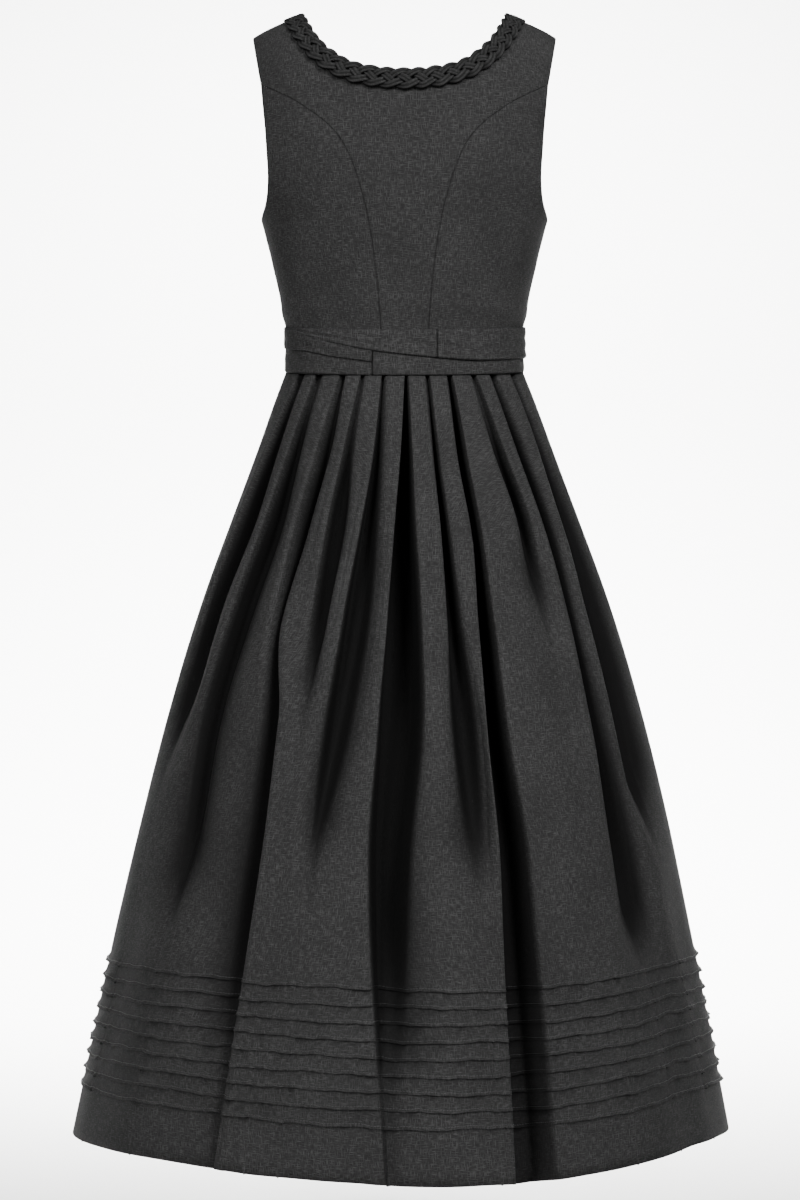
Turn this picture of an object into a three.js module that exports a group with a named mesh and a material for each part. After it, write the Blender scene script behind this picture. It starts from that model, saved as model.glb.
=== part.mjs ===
// A sleeveless dirndl dress, worn: a seamed bodice, a plait round the neckline, a belt of two crossing
// ties, and a pleated midi skirt. Every piece is a wall of cloth, and the dress is hollow and open at
// the neck, armholes and hem.
//
// Millimetres, +Z up. The origin is midway between the two high shoulder points. The wearer faces +Y,
// so the dress's back is at -Y and the wearer's right hand is at +X.

import * as THREE from 'three';

// ---- driving dimensions ----

const cloth = 1.6; // thickness of one wall of cloth
const seamGap = 0.3; // clear space at each seam and between layers
const waistHeight = -383; // the waist seam at the side seams
const waistDipBack = 10; // how much lower the waist seam is at centre back
const waistDipFront = 4; // and at centre front
const hemHeight = -1190; // at centre back and centre front
const hemDrop = { side: -4, corner: 7 }; // how the hem hangs at the sides and halfway between
const shoulderNear = { angle: 37.3, height: -3 }; // high shoulder point on the cloth
const shoulderFar = { angle: 64.2, height: -27 }; // shoulder tip, at the armhole
const closingHeight = -110; // the bodice curves over to the shoulder seam above this height
const bustFullness = { out: 7, x: 80, z: -245, wide: 34, tall: 42 }; // taken in by the front seams
const beltHeight = 48.5; // from the waist seam to the belt's top edge
const lowerTieHeight = 45.5;
const lowerTieLift = 0.9; // how far each tie lies off the bodice
const upperTieLift = lowerTieLift + cloth + seamGap;
const plait = { above: 2, width: 24, thick: 4.6, rim: 1.6, lift: 1 }; // above: past the neck's edge
const bodiceRound = 0.92; // 1 makes a level section of the bodice an ellipse, less makes it boxier
const colour = 0x2f2f30;

// Half width at the side seam and depth at the centre lines, at each height of the bodice.
const figure = [
  { z: -400, half: 125, back: 83, front: 96 },
  { z: -383, half: 125, back: 83, front: 96 },
  { z: -340, half: 126, back: 83, front: 98 },
  { z: -306, half: 132, back: 87, front: 104 },
  { z: -255, half: 144, back: 95, front: 116 },
  { z: -221, half: 153, back: 99, front: 117 },
  { z: -205, half: 159, back: 101, front: 114 },
  { z: -180, half: 167, back: 102, front: 108 },
  { z: -140, half: 172, back: 101, front: 98 },
  { z: -90, half: 175, back: 97, front: 89 },
  { z: -40, half: 179, back: 91, front: 82 },
  { z: 0, half: 182, back: 87, front: 78 },
];

// Points in a flat view from behind (x) and height (z), from which the bodice's seams and edges curve.
const backSeam = [
  { x: 22.5, z: -393 },
  { x: 28.5, z: -297 },
  { x: 42.7, z: -210 },
  { x: 67.7, z: -146 },
  { x: 107, z: -110 },
  { x: 151.5, z: -84 },
];
const frontSeam = [
  { x: 46, z: -387 },
  { x: 62, z: -320 },
  { x: 82, z: -248 },
  { x: 96, z: -190 },
  { x: 114, z: -148 },
  { x: 140, z: -122 },
];
const backArmhole = [
  { x: 162, z: -27 },
  { x: 156.5, z: -58 },
  { x: 151.5, z: -84 },
  { x: 147.8, z: -120 },
  { x: 145, z: -160 },
  { x: 144, z: -188 },
  { x: 147, z: -208 },
  { x: 153, z: -221 },
];
const frontArmhole = [
  { x: 162, z: -27 },
  { x: 154, z: -55 },
  { x: 145, z: -88 },
  { x: 140, z: -122 },
  { x: 136, z: -160 },
  { x: 138, z: -190 },
  { x: 145, z: -210 },
  { x: 153, z: -221 },
];
const backNeck = [[0, -76], [67, -76], [89, -50], [109, -3]]; // handles of one cubic curve, x and z
const frontNeck = [[0, -142], [62, -142], [98, -84], [109, -3]];

// Upper tie: how far its lower edge lies below the belt's top edge, by turn from centre back.
const upperTieEdge = [
  { turn: -180, drop: 42 },
  { turn: -140, drop: 28 },
  { turn: -100, drop: 9 },
  { turn: -75, drop: 5.5 },
  { turn: -53, drop: 12 },
  { turn: -36, drop: 16 },
  { turn: -16, drop: 23 },
  { turn: 0, drop: 27 },
  { turn: 18, drop: 31 },
  { turn: 40, drop: 34 },
  { turn: 90, drop: 33 },
  { turn: 180, drop: 42 },
];
const lowerTieSeam = -15.5; // turns from centre back
const upperTieSeam = 15.5;
const tieGap = 0.12; // turn that each end keeps clear of the next

// The skirt's outside, between its folds, at distances down from the waist seam.
const skirtForm = [
  { fall: 0, half: 126, back: 85, front: 98, shift: 0 },
  { fall: 29, half: 137.3, back: 96, front: 108, shift: 0.3 },
  { fall: 86, half: 158, back: 115, front: 127, shift: 0.7 },
  { fall: 157, half: 184.5, back: 141, front: 152, shift: 0.7 },
  { fall: 243, half: 216, back: 175, front: 185, shift: 0.7 },
  { fall: 329, half: 242.7, back: 206, front: 214, shift: 0.5 },
  { fall: 457, half: 276, back: 247, front: 252, shift: 0 },
  { fall: 585, half: 304.5, back: 285, front: 288, shift: -2 },
  { fall: 714, half: 331, back: 319, front: 321, shift: -3 },
  { fall: 806, half: 349.5, back: 342, front: 344, shift: -4 },
];

// Folds of the skirt. Each has its turn from centre back and its open width at the waist and at the
// shares of the way down below, its full depth, and the share at which it has run out. A fold that
// lies nearly shut at the hem gives the share of its depth that is left there, atHem.
const foldShares = [0, 0.17, 0.4, 0.65, 1];
const backFolds = [
  { turns: [-60.5, -68.4, -73.2, -72, -72], open: [4, 21, 18, 4, 2], deep: 24, ends: 0.5 },
  { turns: [-46, -49.5, -55, -52.8, -51], open: [4, 15, 22, 13, 2], deep: 27, ends: 0.74 },
  { turns: [-31.6, -35.5, -34.7, -32.3, -32.6], open: [3, 9, 15, 19, 9], deep: 34, ends: 1.4, atHem: 0.3 },
  { turns: [-20.5, -22.9, -24.5, -26, -26], open: [3, 13, 9, 3, 2], deep: 26, ends: 0.5 },
  { turns: [-10, -11.4, -15, -19, -20], open: [3, 12, 21, 7, 2], deep: 30, ends: 0.68 },
  { turns: [0.9, 0.2, -0.7, -3.1, -1.6], open: [3, 17, 38, 32, 9], deep: 48, ends: 1.4, atHem: 0.2 },
  { turns: [10.8, 12.2, 13.6, 15.3, 16.3], open: [3, 5, 17, 9, 2], deep: 30, ends: 0.69 },
  { turns: [22.1, 22.9, 21.7, 22.8, 22.5], open: [3, 8, 18, 31, 43], deep: 44, ends: 1.6 },
  { turns: [35, 41.8, 42.2, 42, 42], open: [3, 11, 4, 2, 2], deep: 24, ends: 0.34 },
  { turns: [47.5, 53.8, 52.1, 53, 55], open: [4, 15, 15, 24, 2], deep: 30, ends: 0.78 },
  { turns: [65, 68.4, 65, 67.2, 69], open: [5, 20, 26, 8, 2], deep: 30, ends: 0.61 },
];
const frontFolds = [
  { turns: [99, 101, 98, 97, 97], open: [3, 10, 15, 5, 2], deep: 22, ends: 0.56 },
  { turns: [112, 114, 115, 116, 115], open: [3, 11, 18, 20, 16], deep: 34, ends: 1.5 },
  { turns: [125, 128, 131, 132, 132], open: [3, 9, 15, 8, 2], deep: 26, ends: 0.68 },
  { turns: [138, 142, 146, 149, 150], open: [3, 10, 18, 16, 2], deep: 28, ends: 0.8 },
  { turns: [150.5, 154, 159, 162, 164], open: [3, 8, 17, 24, 28], deep: 38, ends: 1.6 },
  { turns: [163, 165, 168, 172, 173], open: [3, 7, 13, 4, 2], deep: 24, ends: 0.56 },
  { turns: [176, 177, 180, 183, 185], open: [3, 9, 20, 18, 14], deep: 34, ends: 1.4 },
  { turns: [189, 191, 194, 196, 197], open: [3, 8, 14, 3, 2], deep: 26, ends: 0.6 },
  { turns: [202, 205, 209, 213, 214], open: [3, 8, 18, 25, 30], deep: 38, ends: 1.6 },
  { turns: [215, 219, 223, 226, 227], open: [3, 10, 15, 8, 2], deep: 24, ends: 0.64 },
  { turns: [229, 234, 238, 241, 242], open: [3, 10, 18, 20, 18], deep: 32, ends: 1.5 },
  { turns: [244, 249, 253, 255, 256], open: [3, 10, 17, 6, 2], deep: 26, ends: 0.6 },
  { turns: [258, 260, 262, 262, 262], open: [3, 9, 13, 3, 2], deep: 20, ends: 0.5 },
];
const foldAtWaist = 0.16; // share of its full depth that a fold has at the waist
const foldOpensBy = 0.3; // share of the way down where it reaches its full depth
const foldFade = 0.16; // share over which it runs out
const foldShuts = { from: 0.66, to: 0.92 }; // shares between which a fold falls to its depth at the hem
const foldRound = { waist: 2, hem: 7 }; // rounding at each lip of a fold
const foldFloor = 0.3; // least share of a fold's open width that its floor takes
const ovalPower = { waist: 2, hem: 1.75 }; // 2 is an ellipse, 1 would be a diamond

// How finely the cloth is divided.
const centreRows = 8; // points up the centre line of the bodice, from the waist to the neckline
const centreColumns = 6; // points across a centre panel of the bodice
const seamPoints = 10;
const armholePoints = { upper: 4, lower: 7 };
const plaitPoints = 13; // along each quarter of the neckline
const plaitSection = [
  { share: 0, swell: 0 },
  { share: 0.25, swell: 1 },
  { share: 0.75, swell: 1 },
  { share: 1, swell: 0 },
];
const tieStep = 6; // turn between the columns of a tie
const skirtShares = [0, 0.03, 0.09, 0.17, 0.26, 0.35, 0.45, 0.56, 0.7, 0.85, 1]; // down the skirt
const nudge = 0.5; // small step, in a place's own units, for finding directions along the cloth

// ---- small helpers ----

const degrees = THREE.MathUtils.radToDeg;
const radians = THREE.MathUtils.degToRad;
const clamp = THREE.MathUtils.clamp;
const lerp = THREE.MathUtils.lerp;

// A smooth value from a table: a cubic through its rows that never overshoots them.
function smoothValue(positions, values, position) {
  const last = positions.length - 1;
  let row = 0;
  while (row < last - 1 && position > positions[row + 1]) {
    row += 1;
  }
  const slope = (k) => (values[k + 1] - values[k]) / (positions[k + 1] - positions[k]);
  const tangent = (k) => {
    if (k === 0) {
      return slope(0);
    }
    if (k === last) {
      return slope(last - 1);
    }
    const before = slope(k - 1);
    const after = slope(k);
    return before * after <= 0 ? 0 : (2 * before * after) / (before + after);
  };
  const span = positions[row + 1] - positions[row];
  const t = clamp((position - positions[row]) / span, 0, 1);
  const blend = t * t * (3 - 2 * t);
  const leaving = tangent(row) * span * t * (1 - t) ** 2;
  const arriving = tangent(row + 1) * span * (1 - t) * t * t;
  return lerp(values[row], values[row + 1], blend) + leaving - arriving;
}

function fromTable(table, at, column, position) {
  return smoothValue(table.map((row) => row[at]), table.map((row) => row[column]), position);
}

// A number of places evenly spaced along a smooth curve through points of a flat view.
function placesAlong(points, count) {
  const curve = new THREE.CatmullRomCurve3(points.map((p) => new THREE.Vector3(p.x, 0, p.z)));
  return curve.getSpacedPoints(count - 1).map((p) => ({ x: p.x, z: p.z }));
}

function placesOnCubic(handles, count) {
  const [start, first, second, end] = handles.map((h) => new THREE.Vector3(h[0], 0, h[1]));
  const curve = new THREE.CubicBezierCurve3(start, first, second, end);
  return curve.getSpacedPoints(count - 1).map((p) => ({ x: p.x, z: p.z }));
}

function even(start, end, count) {
  return Array.from({ length: count }, (_, k) => lerp(start, end, k / (count - 1)));
}

// ---- the form of the bodice ----

// Height of the shoulder line at an angle from the centre line.
function shoulderHeight(angle) {
  const t = (Math.abs(angle) - shoulderNear.angle) / (shoulderFar.angle - shoulderNear.angle);
  return lerp(shoulderNear.height, shoulderFar.height, t);
}

// Height of the waist seam at a turn from centre back, where 180 is centre front.
function waistAt(turn) {
  const facing = Math.cos(radians(turn));
  return waistHeight - (facing > 0 ? waistDipBack * facing : -waistDipFront * facing);
}

// A point of the bodice's outside. side is -1 on the back and 1 on the front, angle runs from the centre
// line to 90 at the side seam, and rise is the height above closingHeight in mm below it, and in degrees
// above it, up to 90 at the shoulder seam.
function bodicePoint(side, angle, rise) {
  const closing = radians(Math.max(rise, 0));
  const top = shoulderHeight(angle);
  const z = closingHeight + Math.min(rise, 0) + (top - closingHeight) * Math.sin(closing);
  const half = fromTable(figure, 'z', 'half', z);
  const depth = fromTable(figure, 'z', side < 0 ? 'back' : 'front', z);
  const x = half * Math.sin(radians(angle));
  const across = Math.cos(radians(angle));
  let y = depth * Math.sign(across) * Math.abs(across) ** bodiceRound;
  if (side > 0) {
    const wide = (Math.abs(x) - bustFullness.x) / bustFullness.wide;
    const tall = (z - bustFullness.z) / bustFullness.tall;
    y += bustFullness.out * Math.exp(-0.5 * (wide * wide + tall * tall)) * across;
  }
  return new THREE.Vector3(x, side * y * Math.cos(closing), z);
}

// Unit normal of that outside.
function bodiceNormal(side, angle, rise) {
  const along = bodicePoint(side, angle + nudge, rise).sub(bodicePoint(side, angle - nudge, rise));
  const up = bodicePoint(side, angle, rise + nudge).sub(bodicePoint(side, angle, rise - nudge));
  return along.cross(up).multiplyScalar(-side).normalize();
}

// The angle and rise of a place given in the flat view.
function placeOnBodice(place) {
  const half = fromTable(figure, 'z', 'half', place.z);
  const angle = degrees(Math.asin(clamp(place.x / half, -1, 1)));
  if (place.z < closingHeight) {
    return { angle, rise: place.z - closingHeight };
  }
  const share = (place.z - closingHeight) / (shoulderHeight(angle) - closingHeight);
  return { angle, rise: degrees(Math.asin(clamp(share, -1, 1))) };
}

// The same by turn from centre back, all the way round.
function aroundBodice(turn, height) {
  const wrapped = THREE.MathUtils.euclideanModulo(turn + 180, 360) - 180;
  const front = Math.abs(wrapped) > 90;
  const angle = front ? Math.sign(wrapped) * (180 - Math.abs(wrapped)) : wrapped;
  const rise = height - closingHeight;
  const side = front ? 1 : -1;
  return { point: bodicePoint(side, angle, rise), normal: bodiceNormal(side, angle, rise) };
}

// ---- closed walls of cloth ----

// Triangles of a grid of point numbers, rows by columns.
function gridFaces(numbers) {
  const faces = [];
  for (let r = 0; r < numbers.length - 1; r += 1) {
    for (let c = 0; c < numbers[r].length - 1; c += 1) {
      const [a, b, d, e] = [numbers[r][c], numbers[r][c + 1], numbers[r + 1][c], numbers[r + 1][c + 1]];
      faces.push([a, b, e], [a, e, d]);
    }
  }
  return faces;
}

// Point numbers of a grid. A grid that wraps comes back to its first column.
function gridNumbers(rows, columns, wraps) {
  return Array.from({ length: rows }, (_, r) => {
    const row = Array.from({ length: columns }, (__, c) => r * columns + c);
    return wraps ? [...row, row[0]] : row;
  });
}

// One closed solid between two like sets of points, joined all round the edge of the outer one's faces.
function closedWall(outside, inside, faces) {
  const count = outside.length;
  const edges = new Set(faces.flatMap(([a, b, c]) => [`${a} ${b}`, `${b} ${c}`, `${c} ${a}`]));
  const all = faces.flatMap(([a, b, c]) => [[a, b, c], [a + count, c + count, b + count]]);
  edges.forEach((edge) => {
    const [a, b] = edge.split(' ').map(Number);
    if (!edges.has(`${b} ${a}`)) {
      all.push([b, a, a + count], [b, a + count, b + count]);
    }
  });
  const points = [...outside, ...inside];
  const volume = all.reduce((sum, [a, b, c]) => sum + points[a].dot(points[b].clone().cross(points[c])), 0);
  const index = volume < 0 ? all.flat().reverse() : all.flat();
  const geometry = new THREE.BufferGeometry();
  const numbers = points.flatMap((p) => p.toArray());
  geometry.setAttribute('position', new THREE.Float32BufferAttribute(numbers, 3));
  geometry.setIndex(index);
  geometry.computeVertexNormals();
  return geometry;
}

function wallFromGrids(outside, inside, wraps = false) {
  const numbers = gridNumbers(outside.length, outside[0].length, wraps);
  return closedWall(outside.flat(), inside.flat(), gridFaces(numbers));
}

// Draws the chosen edges of a grid back by half a seam gap, along the cloth.
function trimEdges(grid, edges) {
  const rows = grid.length - 1;
  const columns = grid[0].length - 1;
  const moves = [];
  const pull = (at, inner, before, after) => {
    const along = after.clone().sub(before).normalize();
    const inward = inner.clone().sub(at);
    inward.addScaledVector(along, -inward.dot(along)).setLength(seamGap / 2);
    moves.push([at, inward]);
  };
  for (let c = 0; c <= columns; c += 1) {
    const before = Math.max(c - 1, 0);
    const after = Math.min(c + 1, columns);
    if (edges.bottom) {
      pull(grid[0][c], grid[1][c], grid[0][before], grid[0][after]);
    }
    if (edges.top) {
      pull(grid[rows][c], grid[rows - 1][c], grid[rows][before], grid[rows][after]);
    }
  }
  for (let r = 0; r <= rows; r += 1) {
    const before = Math.max(r - 1, 0);
    const after = Math.min(r + 1, rows);
    if (edges.start) {
      pull(grid[r][0], grid[r][1], grid[before][0], grid[after][0]);
    }
    if (edges.end) {
      pull(grid[r][columns], grid[r][columns - 1], grid[before][columns], grid[after][columns]);
    }
  }
  moves.forEach(([point, move]) => point.add(move));
}

// ---- bodice panels ----

// Fills the space between four edges, each a list of places, with a grid of places in between.
function fillBetween(bottom, top, start, end) {
  const columns = bottom.length - 1;
  const rows = start.length - 1;
  return start.map((_, r) => bottom.map((__, c) => {
    const u = c / columns;
    const v = r / rows;
    const mix = (key) => {
      const across = lerp(start[r][key], end[r][key], u);
      const upward = lerp(bottom[c][key], top[c][key], v);
      const below = lerp(bottom[0][key], bottom[columns][key], u);
      const above = lerp(top[0][key], top[columns][key], u);
      return across + upward - lerp(below, above, v);
    };
    return { angle: mix('angle'), rise: mix('rise') };
  }));
}

// The outside and inside points of one panel of the +X half.
function panelGrids(side, edges, seams) {
  const grid = fillBetween(edges.bottom, edges.top, edges.start, edges.end);
  const outside = grid.map((row) => row.map((p) => bodicePoint(side, p.angle, p.rise)));
  trimEdges(outside, seams);
  const inside = outside.map((row, r) => row.map((point, c) => {
    const normal = bodiceNormal(side, grid[r][c].angle, grid[r][c].rise);
    return point.clone().addScaledVector(normal, -cloth);
  }));
  return { outside, inside };
}

// A panel on the +X half, or its mirror image where hand is -1.
function panel(side, hand, edges) {
  const seams = { bottom: true, top: true, start: true, end: true };
  const { outside, inside } = panelGrids(side, edges, seams);
  const mirror = (rows) => rows.map((row) => row.map((p) => new THREE.Vector3(p.x * hand, p.y, p.z)));
  return wallFromGrids(mirror(outside), mirror(inside));
}

// The centre back in one piece: the +X half and its mirror image, which share their points on the centre
// line from the waist up to the neckline.
function wholeCentreBack(edges) {
  const { outside, inside } = panelGrids(-1, edges, { bottom: true, top: true, end: true });
  const flip = (rows) => rows.flat().map((p) => new THREE.Vector3(-p.x, p.y, p.z));
  const columns = outside[0].length;
  const right = gridNumbers(outside.length, columns, false);
  const count = outside.length * columns;
  const shared = (r, c) => c === 0 && r < centreRows;
  const left = right.map((row, r) => row.map((k, c) => (shared(r, c) ? k : k + count)).reverse());
  const faces = [...gridFaces(right), ...gridFaces(left)];
  const used = [...new Set(faces.flat())];
  const place = new Map(used.map((k, at) => [k, at]));
  const pick = (rows) => {
    const both = [...rows.flat(), ...flip(rows)];
    return used.map((k) => both[k]);
  };
  const renumbered = faces.map((face) => face.map((k) => place.get(k)));
  return closedWall(pick(outside), pick(inside), renumbered);
}

// Places along the waist seam between two angles from the centre line.
function waistPlaces(side, start, end, count) {
  return even(start, end, count).map((angle) => {
    const turn = side < 0 ? angle : 180 - angle;
    return { angle, rise: waistAt(turn) - closingHeight };
  });
}

function waistPlace(side, angle) {
  return waistPlaces(side, angle, angle, 2)[0];
}

function curveOnBodice(points, count) {
  return placesAlong(points, count).map(placeOnBodice);
}

// Edges of the centre and side panels of the back or the front, on the +X half. The centre panel runs
// from the waist up between the centre line and the curved seam, and on between the neckline and the
// armhole to the shoulder.
function bodiceEdges(side) {
  const seamCurve = side < 0 ? backSeam : frontSeam;
  const armhole = side < 0 ? backArmhole : frontArmhole;
  const meets = armhole.findIndex((p) => p.x === seamCurve.at(-1).x && p.z === seamCurve.at(-1).z);
  const shoulder = even(shoulderNear.angle, shoulderFar.angle, centreColumns)
    .map((angle) => ({ angle, rise: 90 }));
  const armpit = { angle: 90, rise: armhole.at(-1).z - closingHeight };
  const waistSide = waistPlace(side, 90);

  const seam = curveOnBodice(seamCurve, seamPoints);
  seam[0] = waistPlace(side, seam[0].angle);
  const upperArmhole = curveOnBodice(armhole.slice(0, meets + 1), armholePoints.upper).reverse();
  upperArmhole[upperArmhole.length - 1] = shoulder.at(-1);
  const lowerArmhole = curveOnBodice(armhole.slice(meets), armholePoints.lower);
  lowerArmhole[lowerArmhole.length - 1] = armpit;

  const outer = [...seam, ...upperArmhole.slice(1)];
  const neckPoints = outer.length - centreRows + 1;
  const neck = placesOnCubic(side < 0 ? backNeck : frontNeck, neckPoints).map(placeOnBodice);
  neck[neck.length - 1] = shoulder[0];
  const centreLine = even(waistPlace(side, 0).rise, neck[0].rise, centreRows)
    .map((rise) => ({ angle: 0, rise }));
  return {
    centre: {
      bottom: waistPlaces(side, 0, seam[0].angle, centreColumns),
      top: shoulder,
      start: [...centreLine, ...neck.slice(1)],
      end: outer,
    },
    side: {
      bottom: waistPlaces(side, seam[0].angle, 90, lowerArmhole.length),
      top: lowerArmhole,
      start: seam,
      end: even(waistSide.rise, armpit.rise, seam.length).map((rise) => ({ angle: 90, rise })),
    },
  };
}

// ---- the belt's two ties ----

// A band of cloth round the waist between two turns from centre back. low and high give its edges as
// heights above the waist seam, and lift is how far it lies off the bodice. It is straight from the seam
// to the belt's top edge.
function tie(startTurn, endTurn, low, high, lift) {
  const first = Math.ceil(startTurn / tieStep + 0.5);
  const last = Math.floor(endTurn / tieStep - 0.5);
  const steps = even(first, last, last - first + 1).map((k) => k * tieStep);
  const turns = [startTurn, ...steps, endTurn];
  const layer = (off) => [low, high].map((edge) => turns.map((turn) => {
    const foot = aroundBodice(turn, waistAt(turn));
    const top = aroundBodice(turn, waistAt(turn) + beltHeight);
    const share = edge(turn) / beltHeight;
    const normal = foot.normal.lerp(top.normal, share).normalize();
    return foot.point.lerp(top.point, share).addScaledVector(normal, off);
  }));
  return wallFromGrids(layer(lift + cloth), layer(lift));
}

// ---- the plait round the neckline ----

// A flat band that follows the neckline all the way round, thicker along its middle.
function neckPlait() {
  const half = (side) => {
    const handles = side < 0 ? backNeck : frontNeck;
    const places = placesOnCubic(handles, plaitPoints).map(placeOnBodice);
    places[plaitPoints - 1] = { angle: shoulderNear.angle, rise: 90 };
    return places.map((place) => ({ side, ...place }));
  };
  const mirrored = (places) => places.map((p) => ({ ...p, angle: -p.angle }));
  const back = half(-1);
  const front = half(1);
  const ring = [
    ...back,
    ...front.slice(0, -1).reverse(),
    ...mirrored(front).slice(1),
    ...mirrored(back).slice(1, -1).reverse(),
  ];
  const outside = plaitSection.map(() => []);
  const inside = plaitSection.map(() => []);
  ring.forEach((place, k) => {
    const at = (p) => bodicePoint(p.side, p.angle, p.rise);
    const before = at(ring[(k + ring.length - 1) % ring.length]);
    const along = at(ring[(k + 1) % ring.length]).sub(before).normalize();
    const normal = bodiceNormal(place.side, place.angle, place.rise);
    const outward = along.clone().cross(normal).normalize();
    plaitSection.forEach(({ share, swell }, row) => {
      const foot = stepOnBodice(place, outward, share * plait.width - plait.above);
      const height = plait.lift + lerp(plait.rim, plait.thick, swell);
      outside[row].push(foot.point.clone().addScaledVector(foot.normal, height));
      inside[row].push(foot.point.clone().addScaledVector(foot.normal, plait.lift));
    });
  });
  return wallFromGrids(outside, inside, true);
}

// The point and normal of the bodice that lie a short reach from a place, in a direction along the cloth.
function stepOnBodice(place, direction, reach) {
  const { side, angle, rise } = place;
  const here = bodicePoint(side, angle, rise);
  const byAngle = bodicePoint(side, angle + nudge, rise).sub(here).divideScalar(nudge);
  const byRise = bodicePoint(side, angle, rise - nudge).sub(here).divideScalar(-nudge);
  const both = byAngle.dot(byRise);
  const [angleDrive, riseDrive] = [byAngle.dot(direction) * reach, byRise.dot(direction) * reach];
  const scale = byAngle.lengthSq() * byRise.lengthSq() - both * both;
  const newAngle = angle + (angleDrive * byRise.lengthSq() - riseDrive * both) / scale;
  const newRise = rise + (riseDrive * byAngle.lengthSq() - angleDrive * both) / scale;
  return { point: bodicePoint(side, newAngle, newRise), normal: bodiceNormal(side, newAngle, newRise) };
}

// ---- the skirt ----

// A point of the skirt's outside between its folds, at a turn from centre back and a share of the way
// down from the waist to the hem. Seen from above it is an oval whose broad panels flatten towards the hem.
function skirtOutside(turn, share) {
  const fall = share * skirtForm.at(-1).fall;
  const facing = Math.cos(radians(turn));
  const aside = Math.sin(radians(turn));
  const half = fromTable(skirtForm, 'fall', 'half', fall);
  const depth = fromTable(skirtForm, 'fall', facing > 0 ? 'back' : 'front', fall);
  const shift = fromTable(skirtForm, 'fall', 'shift', fall);
  const power = lerp(ovalPower.waist, ovalPower.hem, share);
  const y = -Math.sign(facing) * depth * Math.max(1 - Math.abs(aside) ** power, 0) ** (1 / power);
  const hem = hemHeight + hemDrop.corner * Math.sin(2 * radians(turn)) ** 2 + hemDrop.side * aside * aside;
  return new THREE.Vector3(half * aside + shift, y, lerp(waistAt(turn) - seamGap, hem, share));
}

// The same, moved outwards by out.
function skirtPoint(turn, share, out) {
  const along = skirtOutside(turn + nudge, share).sub(skirtOutside(turn - nudge, share));
  const outward = new THREE.Vector3(along.y, -along.x, 0).setLength(out);
  return skirtOutside(turn, share).add(outward);
}

// Degrees of turn for one millimetre along the skirt there.
function turnPerMillimetre(turn, share) {
  return 2 * nudge / skirtOutside(turn + nudge, share).distanceTo(skirtOutside(turn - nudge, share));
}

// The turn and inward depth of each column of a skirt piece, at a share of the way down.
function skirtColumns(folds, startTurn, endTurn, share) {
  const columns = [{ turn: startTurn, depth: 0 }];
  const round = lerp(foldRound.waist, foldRound.hem, share);
  folds.forEach((fold) => {
    const centre = smoothValue(foldShares, fold.turns, share);
    const open = smoothValue(foldShares, fold.open, share) / 2;
    const opening = lerp(foldAtWaist, 1, Math.min(share / foldOpensBy, 1));
    const fade = 1 - THREE.MathUtils.smoothstep(share, fold.ends - foldFade, fold.ends);
    const shutting = THREE.MathUtils.smoothstep(share, foldShuts.from, foldShuts.to);
    const depth = fold.deep * opening * fade * lerp(1, fold.atHem ?? 1, shutting);
    const scale = turnPerMillimetre(centre, share);
    const lip = (open + round) * scale;
    const floor = Math.max(open - round, open * foldFloor) * scale;
    const last = columns.at(-1).turn;
    columns.push({ turn: (last + centre - lip) / 2, depth: 0 });
    columns.push({ turn: centre - lip, depth: 0 });
    columns.push({ turn: centre - floor, depth });
    columns.push({ turn: centre + floor, depth });
    columns.push({ turn: centre + lip, depth: 0 });
  });
  columns.push({ turn: (columns.at(-1).turn + endTurn) / 2, depth: 0 });
  columns.push({ turn: endTurn, depth: 0 });
  return columns;
}

// The front or the back of the skirt, closed but for the waist and the hem, between two turns.
function skirtPiece(folds, startTurn, endTurn) {
  const outside = skirtShares.map((share) => skirtColumns(folds, startTurn, endTurn, share)
    .map((column) => skirtPoint(column.turn, share, -column.depth)));
  const inside = outside.map((row, r) => row.map((point, c) => {
    const edge = c === 0 || c === row.length - 1;
    const turn = c === 0 ? startTurn : endTurn;
    const down = outside[Math.min(r + 1, outside.length - 1)][c];
    const up = outside[Math.max(r - 1, 0)][c];
    const share = skirtShares[r];
    const along = edge
      ? skirtOutside(turn + nudge, share).sub(skirtOutside(turn - nudge, share))
      : row[c + 1].clone().sub(row[c - 1]);
    const inward = along.cross(up.clone().sub(down)).normalize().multiplyScalar(-1);
    return point.clone().addScaledVector(inward, cloth);
  }));
  trimEdges(outside, { start: true, end: true });
  trimEdges(inside, { start: true, end: true });
  return wallFromGrids(outside, inside);
}

// ---- the dress ----

const dress = new THREE.Group();
const fabric = new THREE.MeshStandardMaterial({ color: colour, roughness: 0.92, metalness: 0 });

function add(name, geometry) {
  const mesh = new THREE.Mesh(geometry, fabric.clone());
  mesh.name = name;
  dress.add(mesh);
}

const backEdges = bodiceEdges(-1);
const frontEdges = bodiceEdges(1);
add('bodice_back_center', wholeCentreBack(backEdges.centre));
for (const [name, hand] of [['right', 1], ['left', -1]]) {
  add(`bodice_back_side_${name}`, panel(-1, hand, backEdges.side));
  add(`bodice_front_center_${name}`, panel(1, hand, frontEdges.centre));
  add(`bodice_front_side_${name}`, panel(1, hand, frontEdges.side));
}

add('neck_plait', neckPlait());

const tieFoot = () => seamGap;
const lowerTop = () => lowerTieHeight;
const upperTop = () => beltHeight;
const upperFoot = (turn) => beltHeight - fromTable(upperTieEdge, 'turn', 'drop', turn);
add('tie_lower_left', tie(-180 + tieGap, lowerTieSeam - tieGap, tieFoot, lowerTop, lowerTieLift));
add('tie_lower_right', tie(lowerTieSeam + tieGap, 180 - tieGap, tieFoot, lowerTop, lowerTieLift));
add('tie_upper_left', tie(-180 + tieGap, upperTieSeam - tieGap, upperFoot, upperTop, upperTieLift));
add('tie_upper_right', tie(upperTieSeam + tieGap, 180 - tieGap, upperFoot, upperTop, upperTieLift));

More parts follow.
